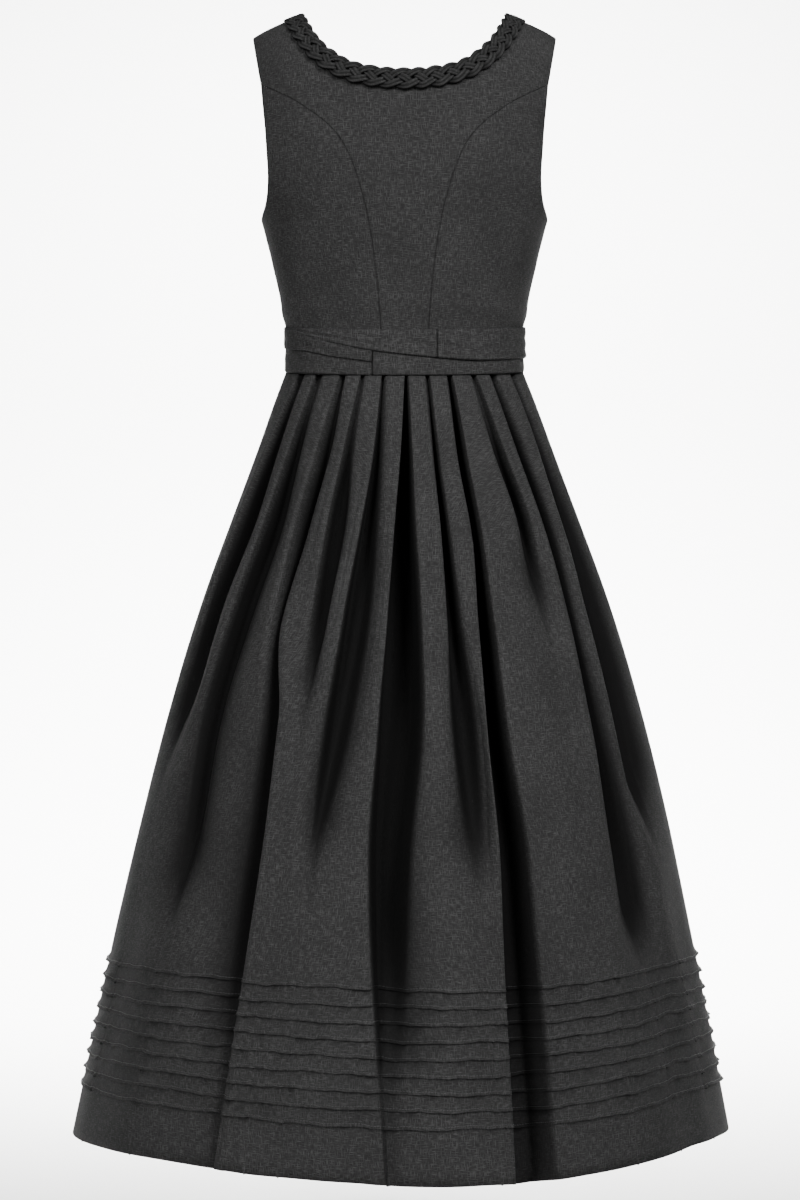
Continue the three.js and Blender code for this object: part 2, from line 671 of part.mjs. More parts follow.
add('skirt_back', skirtPiece(backFolds, -90, 90));
add('skirt_front', skirtPiece(frontFolds, 90, 270));

export default dress;
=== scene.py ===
"""The visible cloth of a worn dirndl dress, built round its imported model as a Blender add-on.

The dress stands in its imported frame, in metres and +Z up, with its back at -Y. The tables below are in
millimetres and degrees, as a maker would draft them, and mesh_piece turns them into metres. A turn is
measured from centre back towards the wearer's right, and places are given as in a flat view, x and z.
"""

import math

import bmesh
import bpy
import numpy as np
from bpy.props import FloatProperty, FloatVectorProperty, IntProperty, PointerProperty
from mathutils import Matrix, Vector


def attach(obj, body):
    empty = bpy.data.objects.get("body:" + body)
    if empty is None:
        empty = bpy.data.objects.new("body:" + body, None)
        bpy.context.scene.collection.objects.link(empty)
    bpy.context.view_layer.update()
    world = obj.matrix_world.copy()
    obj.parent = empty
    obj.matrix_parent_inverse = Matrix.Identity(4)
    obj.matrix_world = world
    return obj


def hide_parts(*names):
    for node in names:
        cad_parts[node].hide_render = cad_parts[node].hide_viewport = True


bl_info = {
    "name": "Dirndl Dress Cloth",
    "version": (1, 0, 0),
    "blender": (4, 5, 0),
    "location": "View3D > Sidebar > Dirndl",
    "description": "Builds the bodice, neckline plait, tie belt and pleated skirt of a worn dirndl dress",
    "category": "Add Mesh",
}

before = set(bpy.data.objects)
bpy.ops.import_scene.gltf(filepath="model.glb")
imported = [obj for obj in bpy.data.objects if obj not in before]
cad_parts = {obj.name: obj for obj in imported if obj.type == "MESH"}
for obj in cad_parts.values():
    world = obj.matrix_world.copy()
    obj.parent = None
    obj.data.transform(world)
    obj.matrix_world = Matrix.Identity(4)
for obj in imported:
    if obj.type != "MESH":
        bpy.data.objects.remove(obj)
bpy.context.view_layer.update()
NUDGE = 0.5  # how far from a place, in degrees or mm, its slope is measured


def table_rows(columns, rows):
    """Rows of a table by the names of their columns."""
    return [dict(zip(columns, row)) for row in rows]


# ---- what the dress was drafted from ----

WAIST = -383.0  # the waist seam at the side seams
WAIST_DIP_BACK = 10.0
WAIST_DIP_FRONT = 4.0
HEM = -1190.0
HEM_DROP_SIDE = -4.0
HEM_DROP_CORNER = 7.0
SEAM_GAP = 0.3

SHOULDER_NEAR = {"angle": 37.3, "height": -3.0}
SHOULDER_FAR = {"angle": 64.2, "height": -27.0}
CLOSING = -110.0  # the bodice curves over to the shoulder seam above this height
BUST = {"out": 7.0, "x": 80.0, "z": -245.0, "wide": 34.0, "tall": 42.0}
BLOUSING = {"out": 1.6, "z": -322.0, "tall": 9.0}  # slack cloth just above the belt
BODICE_ROUND = 0.92
FIGURE = {
    "z": [-400, -383, -340, -306, -255, -221, -205, -180, -140, -90, -40, 0],
    "half": [125, 125, 126, 132, 144, 153, 159, 167, 172, 175, 179, 182],
    "back": [83, 83, 83, 87, 95, 99, 101, 102, 101, 97, 91, 87],
    "front": [96, 96, 98, 104, 116, 117, 114, 108, 98, 89, 82, 78],
}
BACK_SEAM = [(22.5, -393), (28.5, -297), (42.7, -210), (67.7, -146), (107, -110), (151.5, -84)]
FRONT_SEAM = [(46, -387), (62, -320), (82, -248), (96, -190), (114, -148), (140, -122)]
BACK_ARMHOLE = [
    (162, -27), (156.5, -58), (151.5, -84), (147.8, -120),
    (145, -160), (144, -188), (147, -208), (153, -221),
]
FRONT_ARMHOLE = [
    (162, -27), (154, -55), (145, -88), (140, -122), (136, -160), (138, -190), (145, -210), (153, -221),
]
BACK_NECK = [(0, -76), (67, -76), (89, -50), (109, -3)]
FRONT_NECK = [(0, -142), (62, -142), (98, -84), (109, -3)]
NECK_SHARE = 7 / 12  # of the way up a centre panel, where its neckline starts
ARMHOLE_SHARE = 0.75  # of the way up a centre panel, where its seam meets the armhole
PANEL_COLUMNS = 26
PANEL_ROWS = {"centre": 50, "side": 44}

# The bodice's panels: their side (-1 is the back), which edges bound them, their cut and its area.
PANELS = table_rows(("name", "side", "part", "flat", "area"), [
    ("bodice_back_center", -1, "centre", (0.315, 0.39), 0.05),
    ("bodice_back_side", -1, "side", (0.155, 0.31), 0.038),
    ("bodice_front_center", 1, "centre", (0.17, 0.385), 0.032),
    ("bodice_front_side", 1, "side", (0.125, 0.27), 0.026),
])

# above is how far the plait stands over the neckline, and lift how far it lies off the cloth. A strand has
# this many rings of points along it and this many points round it.
PLAIT = {"above": 2.0, "width": 24.0, "lift": 1.0, "strands": 4, "rings": 640, "round": 16}

BELT_HEIGHT = 48.5
LOWER_TIE = {"height": 45.5, "lift": 1.4, "seam": -15.5, "roll": 0.0}
UPPER_TIE = {"height": BELT_HEIGHT, "lift": 3.3, "seam": 15.5, "roll": 1.6}  # its lower edge rolls out
UPPER_TIE_EDGE = {
    "turn": [-180, -140, -100, -75, -53, -36, -16, 0, 18, 40, 90, 180],
    "drop": [42, 28, 9, 5.5, 12, 16, 23, 27, 31, 34, 33, 42],
}
LOWER_TIE_PLEAT = {"turn": [-180, -90, -57, -38, -15.5], "up": [27, 26, 24.5, 19.8, 14.4]}
TIE_WALL = 1.2
TIE_STEPS = 1.15  # columns of a tie's cloth for each degree of turn
TIE_GAP = 0.1  # degrees left open at each end of a tie
TIE_EDGE = 0.8  # how far in from its edge a tie is pressed thin
TIES = table_rows(("name", "form", "start", "end", "pleated", "seed", "flat", "area"), [
    ("tie_lower_left", LOWER_TIE, -180, LOWER_TIE["seam"], True, 0.3, (0.046, 0.335), 0.0153),
    ("tie_lower_right", LOWER_TIE, LOWER_TIE["seam"], 180, False, 1.1, (0.046, 0.395), 0.0179),
    ("tie_upper_left", UPPER_TIE, -180, UPPER_TIE["seam"], False, 2.4, (0.042, 0.395), 0.009),
    ("tie_upper_right", UPPER_TIE, UPPER_TIE["seam"], 180, False, 3.2, (0.042, 0.335), 0.0118),
])

SKIRT = {
    "fall": [0, 29, 86, 157, 243, 329, 457, 585, 714, 806],
    "half": [126, 137.3, 158, 184.5, 216, 242.7, 276, 304.5, 331, 349.5],
    "back": [85, 96, 115, 141, 175, 206, 247, 285, 319, 342],
    "front": [98, 108, 127, 152, 185, 214, 252, 288, 321, 344],
    "shift": [0, 0.3, 0.7, 0.7, 0.7, 0.5, 0, -2, -3, -4],
}
FALL = SKIRT["fall"][-1]
HEM_LINE = {
    "turn": [-100, -60, -26, -16, -8, 0, 8, 14, 24, 34, 44, 54, 62, 72, 92, 130, 150],
    "up": [0, 0, 0, 2, 2.5, 0.5, -1.5, -3, -6.5, -5.5, -2.5, 0.5, 3.5, 5, 5, 0, 0],
}
OVAL_WAIST = 2.0
OVAL_HEM = 1.75

# Folds of the skirt, with columns of seven values at these shares of the way down. turns is where each lies,
# open its width, left and right how softly the cloth rolls into it on that side (0 is a pressed edge), deep
# its full depth, ends the share of the way down where it has run out, lean how far its floor slides sideways
# for its depth, and at_hem the share of its depth that is left at the hem.
FOLD_SHARES = [0, 0.1, 0.2, 0.32, 0.45, 0.62, 1]
FOLD_COLUMNS = ("turns", "open", "left", "right", "deep", "ends", "lean", "at_hem")
BACK_FOLDS = table_rows(FOLD_COLUMNS, [
    ([-60.5, -66, -69.5, -73.5, -73, -72, -72], [5, 15, 24, 25, 14, 4, 2],
     [0, 0, 0, 0.3, 0.8, 1, 1], [0.4, 0.6, 0.9, 1.1, 1.3, 1.2, 1], 31, 0.52, -0.2, 1),
    ([-46, -48.8, -49.8, -53.2, -56, -53, -51], [5, 11, 18, 22, 22, 14, 2],
     [0, 0, 0, 0.2, 0.7, 1, 1], [0.4, 0.6, 0.8, 1, 1.2, 1.3, 1], 30, 0.74, -0.2, 1),
    ([-31.6, -34, -36.2, -37, -33.2, -32.3, -32.6], [3, 10, 9, 6, 20, 20, 9],
     [0, 0, 0, 0, 0.7, 1.2, 1.4], [0.4, 0.6, 0.6, 0.3, 0, 0, 0], 38, 1.4, 0.1, 0.3),
    ([-20.5, -22.6, -23, -23.7, -25, -26, -26], [2, 7, 16, 14, 3, 2, 2],
     [0, 0, 0, 0.3, 0.8, 1, 1], [0.3, 0.4, 0.4, 0.2, 0.4, 1, 1], 26, 0.48, -0.1, 1),
    ([-10, -10.4, -11.8, -13.4, -16, -18.9, -20], [2, 7, 14, 23, 20, 4, 2],
     [0, 0, 0, 0.1, 0.6, 1, 1], [0.2, 0.3, 0.5, 0.7, 1, 1, 1], 32, 0.67, -0.2, 1),
    ([0.9, 0.5, 0, -0.2, -1, -3.2, -1.6], [2, 10, 20, 33, 42, 34, 7],
     [0, 0, 0, 0, 0.1, 0.3, 0.2], [0, 0, 0, 0, 0.3, 1, 1.6], 56, 1.4, -0.1, 0.2),
    ([10.8, 11.5, 12.5, 13, 14, 15.2, 16.3], [2, 3, 6, 11, 19, 9, 2],
     [0.1, 0.1, 0, 0.1, 0.6, 1, 1], [0.2, 0.3, 0.3, 0.5, 0.8, 1, 1], 32, 0.68, 0.1, 1),
    ([22.1, 22.3, 23.2, 21.9, 21.6, 22.8, 22.5], [3, 7, 8, 15, 20, 30, 44],
     [0.2, 0.2, 0.1, 0, 0, 0, 0.1], [0, 0, 0, 0.1, 0.2, 0.5, 0.7], 50, 1.6, 0.1, 1),
    ([35, 39, 43, 42.6, 42, 42, 42], [3, 10, 12, 5, 2, 2, 2],
     [0.2, 0.2, 0.3, 1, 1, 1, 1], [0.1, 0.1, 0.2, 0.7, 1, 1, 1], 27, 0.37, 0.2, 1),
    ([47.5, 52, 54.6, 52.6, 51.8, 52.8, 55], [5, 13, 16, 12, 17, 26, 2],
     [0.1, 0.1, 0.1, 0.1, 0.1, 0.6, 1], [0.2, 0.4, 0.5, 0.6, 1, 1.3, 1], 36, 0.78, 0.1, 1),
    ([65, 68.5, 68.3, 65.2, 64.8, 67, 69], [6, 15, 25, 29, 24, 8, 2],
     [0.1, 0.1, 0.1, 0.2, 0.5, 1, 1], [0.4, 0.7, 1, 1.3, 1.4, 1.3, 1], 37, 0.62, 0.1, 1),
])
FRONT_FOLDS = table_rows(FOLD_COLUMNS, [
    ([99, 100, 100.5, 99, 98, 97, 97], [3, 7, 11, 13, 13, 6, 2],
     [0, 0, 0, 0.2, 0.4, 0.9, 1], [0.2, 0.3, 0.3, 0.4, 0.6, 0.9, 1], 22, 0.56, 0.2, 1),
    ([112, 113, 114, 114.5, 115, 116, 115], [3, 8, 12, 16, 18, 20, 16],
     [0, 0.1, 0.1, 0.2, 0.4, 0.7, 0.8], [0.2, 0.3, 0.4, 0.2, 0.1, 0.1, 0.2], 34, 1.5, 0.2, 1),
    ([125, 127, 128.5, 130, 131, 132, 132], [3, 7, 10, 13, 14, 9, 2],
     [0, 0.1, 0.1, 0.3, 0.5, 0.8, 1], [0.2, 0.2, 0.2, 0.3, 0.5, 0.8, 1], 26, 0.68, 0.2, 1),
    ([138, 140.5, 142.5, 144.5, 146.5, 148.5, 150], [3, 7, 11, 15, 18, 16, 2],
     [0, 0, 0.1, 0.3, 0.5, 0.8, 1], [0.2, 0.2, 0.2, 0.3, 0.4, 0.6, 1], 28, 0.8, 0.15, 1),
    ([150.5, 152.5, 154.5, 157.5, 159.5, 161.5, 164], [3, 6, 9, 14, 18, 23, 28],
     [0, 0, 0, 0.1, 0.1, 0.2, 0.4], [0.1, 0.1, 0.1, 0.2, 0.3, 0.5, 0.6], 38, 1.6, 0.1, 1),
    ([163, 164, 165.5, 167, 169, 171.5, 173], [3, 5, 8, 11, 11, 5, 2],
     [0, 0, 0.1, 0.3, 0.5, 0.8, 1], [0.1, 0.1, 0.1, 0.3, 0.5, 0.8, 1], 24, 0.56, 0.1, 1),
    ([176, 176.5, 177.5, 179, 180.5, 182.5, 185], [3, 7, 10, 16, 20, 18, 14],
     [0, 0, 0, 0.1, 0.2, 0.5, 0.8], [0, 0, 0, 0.1, 0.2, 0.3, 0.4], 34, 1.4, 0, 1),
    ([189, 190, 191.5, 193, 194.5, 196, 197], [3, 6, 9, 12, 12, 4, 2],
     [0.1, 0.1, 0.1, 0.3, 0.5, 0.8, 1], [0, 0, 0, 0.2, 0.4, 0.8, 1], 26, 0.6, -0.1, 1),
    ([202, 204, 205.5, 207.5, 210, 212.5, 214], [3, 6, 9, 15, 19, 24, 30],
     [0.2, 0.2, 0.2, 0.1, 0.1, 0.3, 0.5], [0, 0, 0, 0.1, 0.1, 0.3, 0.4], 38, 1.6, -0.1, 1),
    ([215, 217.5, 219.5, 221.5, 223.5, 225.5, 227], [3, 7, 11, 13, 14, 9, 2],
     [0.2, 0.3, 0.3, 0.4, 0.6, 0.9, 1], [0, 0.1, 0.1, 0.2, 0.4, 0.7, 1], 24, 0.64, -0.2, 1),
    ([229, 232, 234.5, 236.5, 238.5, 240.5, 242], [3, 7, 11, 15, 18, 20, 18],
     [0.2, 0.3, 0.3, 0.3, 0.3, 0.5, 0.7], [0, 0, 0, 0.1, 0.1, 0.2, 0.4], 32, 1.5, -0.2, 1),
    ([244, 247, 249.5, 251.5, 253.5, 255, 256], [3, 7, 11, 15, 15, 7, 2],
     [0.2, 0.3, 0.3, 0.4, 0.6, 0.9, 1], [0, 0.1, 0.1, 0.2, 0.4, 0.8, 1], 26, 0.6, -0.2, 1),
    ([258, 259, 260.5, 261.5, 262, 262, 262], [3, 7, 10, 12, 11, 4, 2],
     [0.2, 0.3, 0.4, 0.5, 0.7, 1, 1], [0, 0.1, 0.1, 0.2, 0.4, 0.9, 1], 20, 0.5, -0.2, 1),
])
FOLD_AT_WAIST = 0.3  # share of its full depth that a fold has at the waist
FOLD_OPENS_BY = 0.24
FOLD_FADE = 0.2  # share of the way down over which a fold runs out
FOLD_SHUTS = (0.66, 0.92)  # where a fold comes down to what is left of it at the hem
ROLL_OUTSIDE = 0.55  # share of the roll into a fold that lies outside its open width
SAG = 0.19  # how much lower the floor of a fold hangs at the hem, for its depth

# Soft troughs and ridges left in the broad panels: wide is across in mm, tall a share of the way down, and
# out how far the cloth stands out.
SOFT_FORMS = table_rows(("turn", "share", "wide", "tall", "out"), [
    (-68, 0.66, 26, 0.16, -5), (-52, 0.86, 30, 0.18, 3), (-21, 0.8, 26, 0.12, -3.5),
    (-12, 0.9, 34, 0.14, 3), (8, 0.9, 18, 0.16, 2.5), (18.5, 0.78, 12, 0.1, -4),
    (42, 0.42, 16, 0.12, -4), (44, 0.86, 34, 0.2, 4), (58, 0.84, 22, 0.14, -6),
    (72, 0.8, 24, 0.16, -4), (104, 0.8, 30, 0.2, 4), (128, 0.82, 30, 0.14, -4),
    (147, 0.9, 26, 0.14, -4), (172, 0.74, 22, 0.14, -4), (197, 0.78, 26, 0.14, -5),
    (226, 0.84, 28, 0.16, -4), (256, 0.78, 28, 0.18, -4),
])

ROWS_ABOVE_TUCKS = 50

# A pin tuck in profile: mm below its lip, and how far out it stands there.
TUCK_PROFILE = [
    (-8.5, 0.0), (-5.0, 0.14), (-2.6, 0.42), (-1.0, 0.86), (-0.1, 1.0), (0.35, 0.72), (0.55, 0.1), (2.4, 0.0),
]
TUCK_SEAM_ROW = 2  # the row of a tuck's profile that its stitches lie on
STITCH_LIFT = 0.12
STITCH_SHARE = 0.74  # of the distance from one stitch to the next that thread takes up

# The paper, in metres: how far it reaches before and behind the dress, aside and up, and how it bends up.
PAPER = {"front": -7.0, "back": 2.2, "bend": 1.2, "top": 5.0, "aside": 6.0}
WEAKER_LIGHT = 0.58  # the left soft light's power for that of the right


# ---- numbers ----


def smooth_values(positions, values, at):
    """Smooth values from a table: a cubic through its rows that never overshoots them."""
    x = np.asarray(positions, float)
    y = np.asarray(values, float)
    span = np.diff(x)
    slope = np.diff(y) / span
    tangent = np.empty_like(y)
    tangent[0], tangent[-1] = slope[0], slope[-1]
    product = slope[:-1] * slope[1:]
    total = np.where(product > 0, slope[:-1] + slope[1:], 1)
    tangent[1:-1] = np.where(product > 0, 2 * product / total, 0)
    at = np.clip(np.asarray(at, float), x[0], x[-1])
    row = np.clip(np.searchsorted(x, at, side="right") - 1, 0, len(x) - 2)
    t = (at - x[row]) / span[row]
    blend = t * t * (3 - 2 * t)
    leaving = tangent[row] * span[row] * t * (1 - t) ** 2
    arriving = tangent[row + 1] * span[row] * (1 - t) * t * t
    return y[row] + (y[row + 1] - y[row]) * blend + leaving - arriving


def from_table(table, at, column, position):
    return smooth_values(table[at], table[column], position)


def smoothstep(value, low, high):
    t = np.clip((value - low) / (high - low), 0, 1)
    return t * t * (3 - 2 * t)


def bell(distance, width):
    """1 at no distance, and less and less further away."""
    return np.exp(-((distance / width) ** 2))


def unit(vectors):
    return vectors / np.linalg.norm(vectors, axis=-1, keepdims=True)


def run_along(grid, axis=0):
    """Length run from the first row or column to each point."""
    steps = np.linalg.norm(np.diff(grid, axis=axis), axis=-1)
    start = np.zeros_like(np.take(steps, [0], axis=axis))
    return np.concatenate([start, np.cumsum(steps, axis=axis)], axis=axis)


def spaced(points, count):
    """Places evenly spaced by length along a fine polyline."""
    run = run_along(points)
    at = np.linspace(0, run[-1], count)
    return np.stack([np.interp(at, run, points[:, k]) for k in range(points.shape[1])], axis=1)


def smooth_curve(points, count):
    """Places along a smooth curve through points, knotted by the square roots of their distances."""
    p = np.asarray(points, float)
    p = np.vstack([2 * p[0] - p[1], p, 2 * p[-1] - p[-2]])
    fine = []
    for k in range(1, len(p) - 2):
        four = p[k - 1 : k + 3]
        knots = [0.0]
        for a, b in zip(four, four[1:]):
            knots.append(knots[-1] + np.linalg.norm(b - a) ** 0.5)
        t = np.linspace(knots[1], knots[2], 40)[:, None]
        ends = list(four)
        for spans in ([(0, 1), (1, 2), (2, 3)], [(0, 2), (1, 3)], [(1, 2)]):
            widths = [(knots[low], knots[high], knots[high] - knots[low]) for low, high in spans]
            ends = [
                (high - t) / wide * a + (t - low) / wide * b
                for (low, high, wide), a, b in zip(widths, ends, ends[1:])
            ]
        fine.append(ends[0])
    return spaced(np.vstack(fine), count)


def cubic_curve(handles, count):
    h = np.asarray(handles, float)
    t = np.linspace(0, 1, 400)[:, None]
    fine = (1 - t) ** 3 * h[0] + 3 * t * (1 - t) ** 2 * h[1] + 3 * t * t * (1 - t) * h[2] + t**3 * h[3]
    return spaced(fine, count)


def ripple(along, seed):
    """Gentle unevenness between about -1 and 1 along a length, different for each seed."""
    waves = ((1.0, 0.5), (2.3, 0.3), (5.1, 0.2))
    return sum(part * np.sin(pitch * along + seed * (1.7 + pitch) + part * 9) for pitch, part in waves)


# ---- the form of the bodice ----


def shoulder_height(angle):
    t = (np.abs(angle) - SHOULDER_NEAR["angle"]) / (SHOULDER_FAR["angle"] - SHOULDER_NEAR["angle"])
    return SHOULDER_NEAR["height"] + (SHOULDER_FAR["height"] - SHOULDER_NEAR["height"]) * t


def waist_at(turn):
    facing = np.cos(np.radians(turn))
    return WAIST - np.where(facing > 0, WAIST_DIP_BACK * facing, -WAIST_DIP_FRONT * facing)


def bodice_points(side, angle, rise):
    """Points of the bodice's outside. side is -1 on the back and 1 on the front, angle is measured from the
    middle of that side, and rise is mm above CLOSING or, over the shoulder, degrees towards its seam."""
    closing = np.radians(np.maximum(rise, 0))
    top = shoulder_height(angle)
    z = CLOSING + np.minimum(rise, 0) + (top - CLOSING) * np.sin(closing)
    half, back, front = (from_table(FIGURE, "z", column, z) for column in ("half", "back", "front"))
    depth = np.where(np.asarray(side) < 0, back, front)
    x = half * np.sin(np.radians(angle))
    across = np.cos(np.radians(angle))
    y = depth * np.sign(across) * np.abs(across) ** BODICE_ROUND
    wide = (np.abs(x) - BUST["x"]) / BUST["wide"]
    tall = (z - BUST["z"]) / BUST["tall"]
    bust = BUST["out"] * np.exp(-0.5 * (wide * wide + tall * tall)) * across
    y = y + np.where(np.asarray(side) > 0, bust, 0)
    return np.stack([x, side * y * np.cos(closing), z + 0 * x], axis=-1)


def bodice_normals(side, angle, rise):
    along = bodice_points(side, angle + NUDGE, rise) - bodice_points(side, angle - NUDGE, rise)
    up = bodice_points(side, angle, rise + NUDGE) - bodice_points(side, angle, rise - NUDGE)
    return unit(np.cross(along, up)) * -np.asarray(side, float)[..., None]


def place_on_bodice(xz):
    """Angle and rise of places given in the flat view."""
    x, z = np.asarray(xz, float).T
    angle = np.degrees(np.arcsin(np.clip(x / from_table(FIGURE, "z", "half", z), -1, 1)))
    share = (z - CLOSING) / (shoulder_height(angle) - CLOSING)
    rise = np.where(z < CLOSING, z - CLOSING, np.degrees(np.arcsin(np.clip(share, -1, 1))))
    return np.stack([angle, rise], axis=1)


def around_bodice(turn, height):
    """Points and outward normals of the bodice by turn and height."""
    wrapped = (np.asarray(turn, float) + 180) % 360 - 180
    front = np.abs(wrapped) > 90
    angle = np.where(front, np.sign(wrapped) * (180 - np.abs(wrapped)), wrapped)
    side = np.where(front, 1, -1)
    rise = height - CLOSING + 0 * angle
    return bodice_points(side, angle, rise), bodice_normals(side, angle, rise)


def step_on_bodice(side, places, direction, reach):
    """Points and normals a short reach from places on the bodice, in a direction along the cloth."""
    angle, rise = places[:, 0], places[:, 1]
    here = bodice_points(side, angle, rise)
    by_angle = (bodice_points(side, angle + NUDGE, rise) - here) / NUDGE
    by_rise = (bodice_points(side, angle, rise - NUDGE) - here) / -NUDGE
    aa = (by_angle**2).sum(-1)
    rr = (by_rise**2).sum(-1)
    ar = (by_angle * by_rise).sum(-1)
    ad = (by_angle * direction).sum(-1) * reach
    rd = (by_rise * direction).sum(-1) * reach
    scale = aa * rr - ar * ar
    angle = angle + (ad * rr - rd * ar) / scale
    rise = rise + (rd * aa - ad * ar) / scale
    return bodice_points(side, angle, rise), bodice_normals(side, angle, rise)


# ---- meshes ----


def place_object(name, data):
    placed = bpy.data.objects.new(name, data)
    bpy.context.collection.objects.link(placed)
    return placed


def mesh_piece(name, parts, material, closed=False):
    """A mesh object from parts, each a grid of points in millimetres with its map and its painted shade,
    marked from 0 to 1, by which the cloth's colour is painted darker. A closed grid joins up with itself both
    ways."""
    points, faces, flats, painted_shades, first = [], [], [], [], 0
    for grid, flat, painted_shade in parts:
        corner = first + np.arange(painted_shade.size).reshape(painted_shade.shape)
        first += painted_shade.size
        if closed:
            corner = np.pad(corner, ((0, 1), (0, 1)), mode="wrap")
        quads = [corner[:-1, :-1], corner[:-1, 1:], corner[1:, 1:], corner[1:, :-1]]
        quads = np.stack(quads, axis=-1).reshape(-1, 4)
        here = grid[:-1, :-1]
        normal = np.cross(grid[:-1, 1:] - here, grid[1:, :-1] - here)
        outward = here * (1, 1, 0)
        faces.append(quads if closed or (normal * outward).sum() > 0 else quads[:, ::-1])
        points.append(grid.reshape(-1, 3))
        flats.append(flat.reshape(-1, 2))
        painted_shades.append(painted_shade.ravel())
    mesh = bpy.data.meshes.new(name)
    mesh.from_pydata((np.vstack(points) / 1000).tolist(), [], np.vstack(faces).tolist())
    layer = mesh.uv_layers.new(name="cloth")
    loops = np.empty(len(mesh.loops), dtype=np.int32)
    mesh.loops.foreach_get("vertex_index", loops)
    layer.data.foreach_set("uv", (np.vstack(flats) / 1000)[loops].astype(np.float32).ravel())
    # Painted shade: each point's share, from 0 to 1, by which the cloth material darkens its colour where
    # shade would fall.
    marked = mesh.attributes.new("painted_shade", "FLOAT", "POINT")
    marked.data.foreach_set("value", np.clip(np.concatenate(painted_shades), 0, 1).astype(np.float32))
    mesh.polygons.foreach_set("use_smooth", np.ones(len(mesh.polygons), dtype=bool))
    mesh.materials.append(material)
    mesh.update()
    return place_object(name, mesh)


def sheet_piece(name, parts, wall, material):
    """One cloth, welded where its parts meet, with its wall on the inside."""
    piece = mesh_piece(name, parts, material)
    if len(parts) > 1:
        weld = piece.modifiers.new("weld at centre", "WELD")
        weld.merge_threshold = 1e-5
    solid = piece.modifiers.new("wall", "SOLIDIFY")
    solid.thickness = wall / 1000
    solid.offset = -1
    return piece


def turn_outwards(piece):
    """Turns a closed mesh right side out."""
    work = bmesh.new()
    work.from_mesh(piece.data)
    bmesh.ops.recalc_face_normals(work, faces=work.faces)
    work.to_mesh(piece.data)
    work.free()


def dress_piece(piece, node):
    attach(piece, "root")
    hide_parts(node)


# ---- cloth material ----


def linear(hex_colour):
    """A linear colour from sRGB hex, such as #3a3a3b."""
    parts = [int(hex_colour.lstrip("#")[k : k + 2], 16) / 255 for k in (0, 2, 4)]
    return [p / 12.92 if p <= 0.04045 else ((p + 0.055) / 1.055) ** 2.4 for p in parts]


def toned(colour, strength):
    """A colour made paler or darker, as a node takes it."""
    return [min(part * strength, 1) for part in colour] + [1]


def empty_material(name):
    material = bpy.data.materials.new(name)
    material.use_nodes = True
    material.node_tree.nodes.clear()
    return material, material.node_tree


def add_node(tree, kind, settings=(), inputs=()):
    """Adds a node, sets its properties, and fills each named or numbered input with a value or a link."""
    node = tree.nodes.new(kind)
    for key, value in dict(settings).items():
        setattr(node, key, value)
    for key, value in dict(inputs).items():
        if isinstance(value, bpy.types.NodeSocket):
            tree.links.new(value, node.inputs[key])
        else:
            node.inputs[key].default_value = value
    return node


def melange_cloth(name, finish, fleck=1.0):
    """Plain-woven linen and wool cloth, dyed in the yarn: matt, with pale fibres caught along the threads
    both ways and slubs a few millimetres long. Its colour is painted darker where a piece marks painted
    shade."""
    material, tree = empty_material(name)
    flat = add_node(tree, "ShaderNodeUVMap", {"uv_map": "cloth"}).outputs["UV"]
    across, along = 1 / finish.thread_spacing, 1 / finish.slub_length
    threads = []
    for spread in ((across, along, 1), (along, across, 1)):
        scaled = add_node(tree, "ShaderNodeMapping", {}, {"Vector": flat, "Scale": spread})
        threads.append(add_node(tree, "ShaderNodeTexNoise", {"noise_dimensions": "2D"}, {
            "Vector": scaled.outputs["Vector"], "Scale": 1.0, "Detail": 1.5, "Roughness": 0.6,
        }))
    weave = add_node(tree, "ShaderNodeMath", {"operation": "MAXIMUM"}, {
        0: threads[0].outputs["Fac"], 1: threads[1].outputs["Fac"],
    })
    cloudy = add_node(tree, "ShaderNodeTexNoise", {"noise_dimensions": "2D"}, {
        "Vector": flat, "Scale": 1 / finish.cloud_size, "Detail": 2.0,
    })
    shaded = add_node(tree, "ShaderNodeMix", {"data_type": "FLOAT"}, {
        0: 0.12, 2: weave.outputs["Value"], 3: cloudy.outputs["Fac"],
    })
    ramp = add_node(tree, "ShaderNodeValToRGB", {}, {"Fac": shaded.outputs["Result"]})
    stops = ramp.color_ramp.elements
    stops.new(0.56)
    for stop, place, tone in zip(stops, (0.42, 0.56, 0.74), (1 - 0.36 * fleck, 1, 1 + 0.95 * fleck)):
        stop.position = place
        stop.color = toned(finish.yarn_colour, tone)
    # Painted shade: the colour is mixed towards 0.15 of the yarn's as far as each point is marked, darkening
    # folds, creases, seams and the cloth under edges.
    painted_shade = add_node(tree, "ShaderNodeAttribute", {"attribute_type": "GEOMETRY", "attribute_name": "painted_shade"})
    painted_shade_colour = add_node(tree, "ShaderNodeMix", {"data_type": "RGBA"}, {
        0: painted_shade.outputs["Fac"], 6: ramp.outputs["Color"], 7: toned(finish.yarn_colour, 0.15),
    })
    relief = add_node(tree, "ShaderNodeBump", {}, {
        "Height": weave.outputs["Value"], "Strength": finish.nap, "Distance": 0.0006,
    })
    surface = add_node(tree, "ShaderNodeBsdfPrincipled", {}, {
        "Base Color": painted_shade_colour.outputs[2],
        "Normal": relief.outputs["Normal"],
        "Roughness": 0.88,
        "IOR": 1.5,
        "Specular IOR Level": 0.08,
        "Sheen Weight": finish.sheen,
        "Sheen Roughness": 0.5,
    })
    add_node(tree, "ShaderNodeOutputMaterial", {}, {"Surface": surface.outputs["BSDF"]})
    return material


